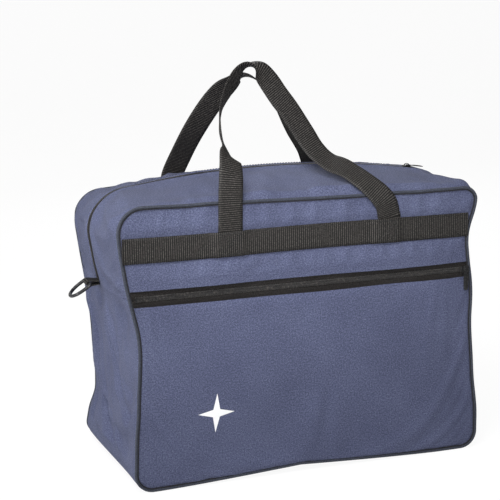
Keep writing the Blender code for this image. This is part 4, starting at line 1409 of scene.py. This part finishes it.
# The pocket's slider with a round stud, and the pull: a ring round the stud and a hanging tab with
# a raised middle.
def makePocketSlider():
    low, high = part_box("pocket_slider")
    origin = np.array(((low.x + high.x) / 2, -panelFace, zipHeight))
    parts, at, axes = sliderParts(origin, (1.0, 0, 0), (0, 0, 1.0), (0, -1.0, 0))
    parts += [pebble(at(*place), axes, halves, power) for place, halves, power in pocketSlider["stud"]]
    makeHardPiece("pocket_slider_body", parts, "slider", "pocket_slider", ("pocket_slider",))
    eye = racetrack(at(*pocketSlider["eyeAt"]), (0, 0, 1.0), (1.0, 0, 0), *pocketSlider["eye"])
    pull = [wireLoop(eye, (0, -1.0, 0), *pocketSlider["eyeWire"])]
    pull += [pebble(at(*place), axes, halves, power) for place, halves, power in pocketSlider["tab"]]
    makeHardPiece("pocket_pull_tab", pull, "slider", "pocket_pull", ("pocket_pull",))


makeMainSlider()
makePocketSlider()

dRing = {
    "wire": 0.0018,
    "width": 0.0250,
    "reach": 0.0270,
    "droop": 34,
    "barX": 0.2125,
    "barZ": 0.2060,
    "tabWidth": 0.018,
    "tabThick": 0.0014,
    "tabGap": 0.0011,
}


# A bent-wire D: straight bar, short arms and a half ellipse, drooping from its tab.
def makeRing(name, side):
    wire, half = dRing["wire"], dRing["width"] / 2 + dRing["wire"]
    reach = dRing["reach"] - 2 * wire
    start = 0.35 * reach
    turn = np.linspace(0, np.pi, 33)
    bow = np.stack((start + (reach - start) * np.sin(turn), -half * np.cos(turn)), -1)
    arm = np.linspace(0.15, 0.9, 5)[:, None]
    bar = np.linspace(0.94, -0.94, 13)[:, None]
    flat = np.concatenate((
        arm * (start, 0) + (0, -half), bow, (1 - arm + 0.05) * (start, 0) + (0, half), bar * (0, half),
    ))
    droop = math.radians(dRing["droop"])
    out, down = flat[:, 0] * math.cos(droop), flat[:, 0] * math.sin(droop)
    path = together(side * (dRing["barX"] + out), flat[:, 1], dRing["barZ"] - down)
    normal = (side * math.sin(droop), 0, math.cos(droop))
    loop = wireLoop(path, normal, 2 * wire, 2 * wire, 14)
    makeHardPiece(f"ring_{name}_wire", [loop], "ring", f"ring_{name}", (f"d_ring_{name}",))


# The tab: webbing from the side seam, half a turn round the ring's bar and back.
def makeTab(name, side):
    wrap = dRing["wire"] + dRing["tabGap"]
    bend = np.linspace(0, np.pi, 15)
    over = np.stack((dRing["barX"] + wrap * np.sin(bend), dRing["barZ"] + wrap * np.cos(bend)), -1)
    root = halfWidth + 0.0010
    route = np.concatenate(((((root, dRing["barZ"] + 0.0014)),), over, (((root, dRing["barZ"] - 0.0014)),)))
    route = together(side * route[:, 0], 0.0, route[:, 1])
    rings, uv = strapRings(route, rowOut(len(route), (0, 1.0, 0)), dRing["tabWidth"], dRing["tabThick"])
    makeSwept(f"ring_{name}_tab", rings, "webbing", "root", (f"ring_tab_{name}",), uv)


for sideName, sideSign in (("left", -1), ("right", 1)):
    makeRing(sideName, sideSign)
    makeTab(sideName, sideSign)
print("hard parts made")


sleeveLow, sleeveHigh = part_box("luggage_sleeve")
sleeve = {
    "hem": 0.0006,
    "hemWidth": 0.014,
    "stand": 0.0060,  # how far its middle stands off the back
    "dents": 0.0012,
    "behind": 0.0026,
    "stitchIn": 0.0030,
    "stitchLift": 0.0046,
}


# The sleeve behind: a strip sewn down both sides, with turned hems, that stands off the panel
# between them by a flat-topped swell.
def makeSleeve():
    z = np.linspace(sleeveLow.z, sleeveHigh.z, 46)[:, None]
    x = np.linspace(sleeveLow.x, sleeveHigh.x, 81)[None, :]
    share = x / sleeveHigh.x
    top, bottom = z - sleeveHigh.z + sleeve["hemWidth"], sleeveLow.z + sleeve["hemWidth"] - z
    hem = sleeve["hem"] * (smoothStep(top / 0.001) + smoothStep(bottom / 0.001))
    waves = sleeve["dents"] * dents(x + 0 * z, z + 0 * x, 0.09, 91)
    stand = sleeve["stand"] * (1 - share**8) ** 0.8 + waves * (1 - share**8)
    points = together(x, panelFace + sleeve["behind"] + np.maximum(stand, 0) + hem, z)
    points = drape(points, np.abs(share + 0 * z) > 0.96, 0.004, 0.0025)
    makeSheet("trolley_sleeve", settle(points), together(x, z), nodes=("luggage_sleeve",))


makeSleeve()


# Points of a sheet at fractional rows and columns of its grid, moved out by a lift.
def onSheet(grid, row, column, lift):
    row = np.clip(row, 0, grid.shape[0] - 1.001)
    column = np.clip(column, 0, grid.shape[1] - 1.001)
    i, j = row.astype(int), column.astype(int)
    a, b = (row - i)[..., None], (column - j)[..., None]
    near = grid[i, j] * (1 - b) + grid[i, j + 1] * b
    far = grid[i + 1, j] * (1 - b) + grid[i + 1, j + 1] * b
    return near * (1 - a) + far * a + np.array((0, -lift, 0))


# The place on the pocket's cloth that lies at x and z before it settles.
def onPocket(x, z, lift):
    row = np.interp(z, pocketUv[:, 0, 1], np.arange(len(pocketUv)))
    middle = pocketUv[len(pocketUv) // 2, :, 0]
    share = middle / halfAt(pocketUv[len(pocketUv) // 2, 0, 1], middle)
    column = np.interp(x / halfAt(z, x), share, np.arange(len(middle)))
    return settle(onSheet(pocketGrid, row, column, lift))


# A four-pointed star laid on the pocket: straight edges between long tips and short waists, filled
# by rings that shrink to its centre.
def makeMark():
    low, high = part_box("printed_mark")
    centreX, centreZ, reach = (low.x + high.x) / 2, (low.z + high.z) / 2, (high.x - low.x) / 2
    spoke = np.linspace(0, 1, 11)[1:, None]
    corner = np.arange(9) * np.pi / 4
    tip = np.where(np.arange(9) % 2 == 0, reach, 0.27 * reach)
    share = np.linspace(0, 1, 9)[:-1]
    corners = ((tip * wave(corner))[:, None] for wave in (np.sin, np.cos))
    x, z = (places[:-1] * (1 - share) + places[1:] * share for places in corners)
    x, z = centreX + spoke * x.ravel(), centreZ + spoke * z.ravel()
    flat = np.concatenate((together(x, z).reshape(-1, 2), [(centreX, centreZ)]))
    points = onPocket(flat[:, 0], flat[:, 1], 0.0003)
    count = x.shape[1]
    ring = np.arange(count)
    hub = together(ring, (ring + 1) % count, len(points) - 1)
    faces = gridFaces(len(spoke), count, False, True)
    star = makePiece("star_print", points, faces, "print", "root", ("printed_mark",), flat, hub.tolist())
    wall = star.modifiers.new("ink", "SOLIDIFY")
    wall.thickness, wall.offset = 0.0002, 0


makeMark()


stitching = {
    "panelHalf": 0.192,
    "belowZip": 0.0022,
    "aboveZip": 0.0020,
    "panelLift": 0.0003,
    "bandEdge": 0.0112,  # from the band's middle to its rows
    "bandLift": 0.0009,
    "bandRow": (0.0030, 0.00028),  # pitch and thread radius
    "boxHalf": 0.0105,
    "boxLift": 0.0041,
    "boxRow": (0.0028, 0.00034, 0.40),  # pitch, thread radius and half a stitch as a share of the pitch
}


# Places on the flat front or back at a lift, settled, with their outward direction.
def frontRow(x, z, lift, side=-1):
    points = settle(together(x, side * (panelFace + lift), z))
    return points, rowOut(len(points), (0, side, 0))


# A box of stitches and its two diagonals, over the end of a handle.
def crossBox(side, x):
    middle, half = (bandLow.z + bandHigh.z) / 2, stitching["boxHalf"]
    corners = half * np.array(((-1, -1), (1, -1), (1, 1), (-1, 1), (-1, -1), (1, 1)))
    lines = [corners[i:i + 2] for i in range(5)] + [half * np.array(((1, -1), (-1, 1)))]
    rows = []
    for line in lines:
        t = np.linspace(0, 1, 12)[:, None]
        flat = line[0] * (1 - t) + line[1] * t
        points, out = frontRow(x + flat[:, 0], middle + flat[:, 1], stitching["boxLift"], side)
        rows.append(stitchRow(points, out, *stitching["boxRow"]))
    return rows


# Rows beside the pocket's zip, along both edges of each band and down both sides of the sleeve,
# and a crossed box over every handle end.
def makeStitching():
    navyRows, blackRows = [], []
    x = np.linspace(-stitching["panelHalf"], stitching["panelHalf"], 200)
    for z in (pocketTop - stitching["belowZip"], upperBottom + stitching["aboveZip"]):
        navyRows.append(stitchRow(*frontRow(x, z + 0 * x, stitching["panelLift"])))
    for name, side in (("front", -1), ("rear", 1)):
        path = bandPaths[name]
        for step in (-1, 1):
            edge = path + (0, side * stitching["bandLift"], step * stitching["bandEdge"])
            blackRows.append(stitchRow(edge, rowOut(len(edge), (0, side, 0)), *stitching["bandRow"]))
        for leg in handleLegs[name]:
            blackRows += crossBox(side, leg)
    z = np.linspace(sleeveLow.z + 0.004, sleeveHigh.z - 0.004, 100)
    for x in (sleeveLow.x + sleeve["stitchIn"], sleeveHigh.x - sleeve["stitchIn"]):
        navyRows.append(stitchRow(*frontRow(x + 0 * z, z, sleeve["stitchLift"], 1)))
    makeBars("panel_stitches", navyRows, "thread", "root")
    makeBars("band_stitches", blackRows, "blackThread", "root")


makeStitching()
print("stitching made")


studio = {
    "floor": 6.0,
    "world": 0.24,
    "below": 0.0004,  # the floor lies this far under the bag
    "whiteness": 0.88,  # how much of the floor's look is plain white paper, free of shadow
    "paper": 1.05,
    # Each lamp's name, place, aim, size and power.
    "lights": (
        ("overhead", (-0.40, -0.62, 1.00), (0.0, -0.1, 0.20), 0.45, 9.2),
        ("left", (-1.60, -0.30, 0.60), (-0.1, 0.0, 0.15), 0.70, 14.0),
        ("right", (1.50, -1.30, 0.90), (0.0, 0.0, 0.15), 0.90, 1.0),
        ("back", (0.40, 1.60, 1.40), (0.0, 0.0, 0.20), 1.00, 10.0),
    ),
    "spot": {
        "place": (-0.55, -1.50, 0.75),
        "aim": (0.0, -0.1, 0.36),
        "spread": 20,
        "power": 138.0,
        "radius": 0.25,
    },
}


# Share of the camera's own view of a white surface, mixed into a shader or the world.
def cameraShare(tree, amount):
    seen = addNode(tree, "ShaderNodeLightPath").outputs["Is Camera Ray"]
    return calculate(tree, "MULTIPLY", seen, amount)


# A pale floor that turns up behind in a quarter circle, mostly plain white to the camera.
def makeStage():
    size = studio["floor"] / 2
    mesh = bpy.data.meshes.new("floor")
    bend = np.linspace(0, np.pi / 2, 12)
    y = np.r_[-size, size - 1 + np.sin(bend), size][:, None]
    z = np.r_[0, 1 - np.cos(bend), size][:, None] - studio["below"]
    rows = together(np.array((-size, size)), y, z)
    mesh.from_pydata(rows.reshape(-1, 3).tolist(), [], gridFaces(len(rows), 2)[:, ::-1].tolist())
    floor = addObject("floor", mesh)
    look, tree, shader = newLook("palePaper", 0.9, Specular_IOR_Level=0.1)
    shade = noise(tree, addNode(tree, "ShaderNodeTexCoord").outputs["Object"], 60.0, 3.0)
    colour = ramp(tree, shade, (0.3, (0.90, 0.90, 0.90)), (0.7, (0.94, 0.94, 0.94)))
    tree.links.new(colour, shader.inputs["Base Color"])
    paper = addNode(tree, "ShaderNodeEmission", Strength=studio["paper"])
    both = addNode(tree, "ShaderNodeMixShader")
    tree.links.new(cameraShare(tree, studio["whiteness"]), both.inputs[0])
    tree.links.new(shader.outputs[0], both.inputs[1])
    tree.links.new(paper.outputs[0], both.inputs[2])
    tree.links.new(both.outputs[0], tree.nodes["Material Output"].inputs["Surface"])
    mesh.materials.append(look)
    mesh.polygons.foreach_set("use_smooth", np.full(len(mesh.polygons), True))


# Puts a light at a place, turned towards its aim.
def placeLight(light, place, aim):
    lamp = addObject(light.name, light)
    lamp.location = place
    lamp.rotation_euler = (Vector(aim) - Vector(place)).to_track_quat("-Z", "Y").to_euler()


# An even white world, four round lamps and a soft spot on the upper half that fades down the front.
def makeLights():
    world = bpy.data.worlds.new("studio")
    bpy.context.scene.world = world
    world.use_nodes = True
    tree = world.node_tree
    background = tree.nodes["Background"]
    background.inputs[0].default_value = (1, 1, 1, 1)
    strength = calculate(tree, "ADD", cameraShare(tree, 1 - studio["world"]), studio["world"])
    tree.links.new(strength, background.inputs[1])
    for name, place, aim, size, power in studio["lights"]:
        light = bpy.data.lights.new(name, "AREA")
        light.shape, light.size, light.energy = "DISK", size, power
        placeLight(light, place, aim)
    beam = studio["spot"]
    spot = bpy.data.lights.new("spot", "SPOT")
    spot.energy, spot.spot_size = beam["power"], math.radians(beam["spread"])
    spot.spot_blend, spot.shadow_soft_size = 1.0, beam["radius"]
    placeLight(spot, beam["place"], beam["aim"])
    bpy.context.scene.view_settings.view_transform = "Standard"


viewpoint = {
    "azimuth": -18.7,
    "elevation": 11.2,
    "roll": -1.1,
    "distance": 1.45,
    "aim": (-0.0295, 0.0, 0.2258),
    "lens": 94.4,
    "sensor": 36.0,
}


# The camera on a sphere round its aim, looking at it, then rolled about that line.
def makeCamera():
    azimuth, elevation, roll = (math.radians(viewpoint[key]) for key in ("azimuth", "elevation", "roll"))
    flat = math.cos(elevation)
    back = Vector((math.sin(azimuth) * flat, -math.cos(azimuth) * flat, math.sin(elevation)))
    level = Vector((0, 0, 1)).cross(back).normalized()
    upright = back.cross(level)
    right = level * math.cos(roll) + upright * math.sin(roll)
    up = upright * math.cos(roll) - level * math.sin(roll)
    camera = bpy.data.cameras.new("camera")
    camera.lens = viewpoint["lens"]
    camera.sensor_width = viewpoint["sensor"]
    holder = addObject("camera", camera)
    turn = Matrix((right, up, back)).transposed().to_4x4()
    holder.matrix_world = Matrix.Translation(Vector(viewpoint["aim"]) + back * viewpoint["distance"]) @ turn
    bpy.context.scene.camera = holder


makeStage()
makeLights()
makeCamera()
print("stage, lights and camera made")
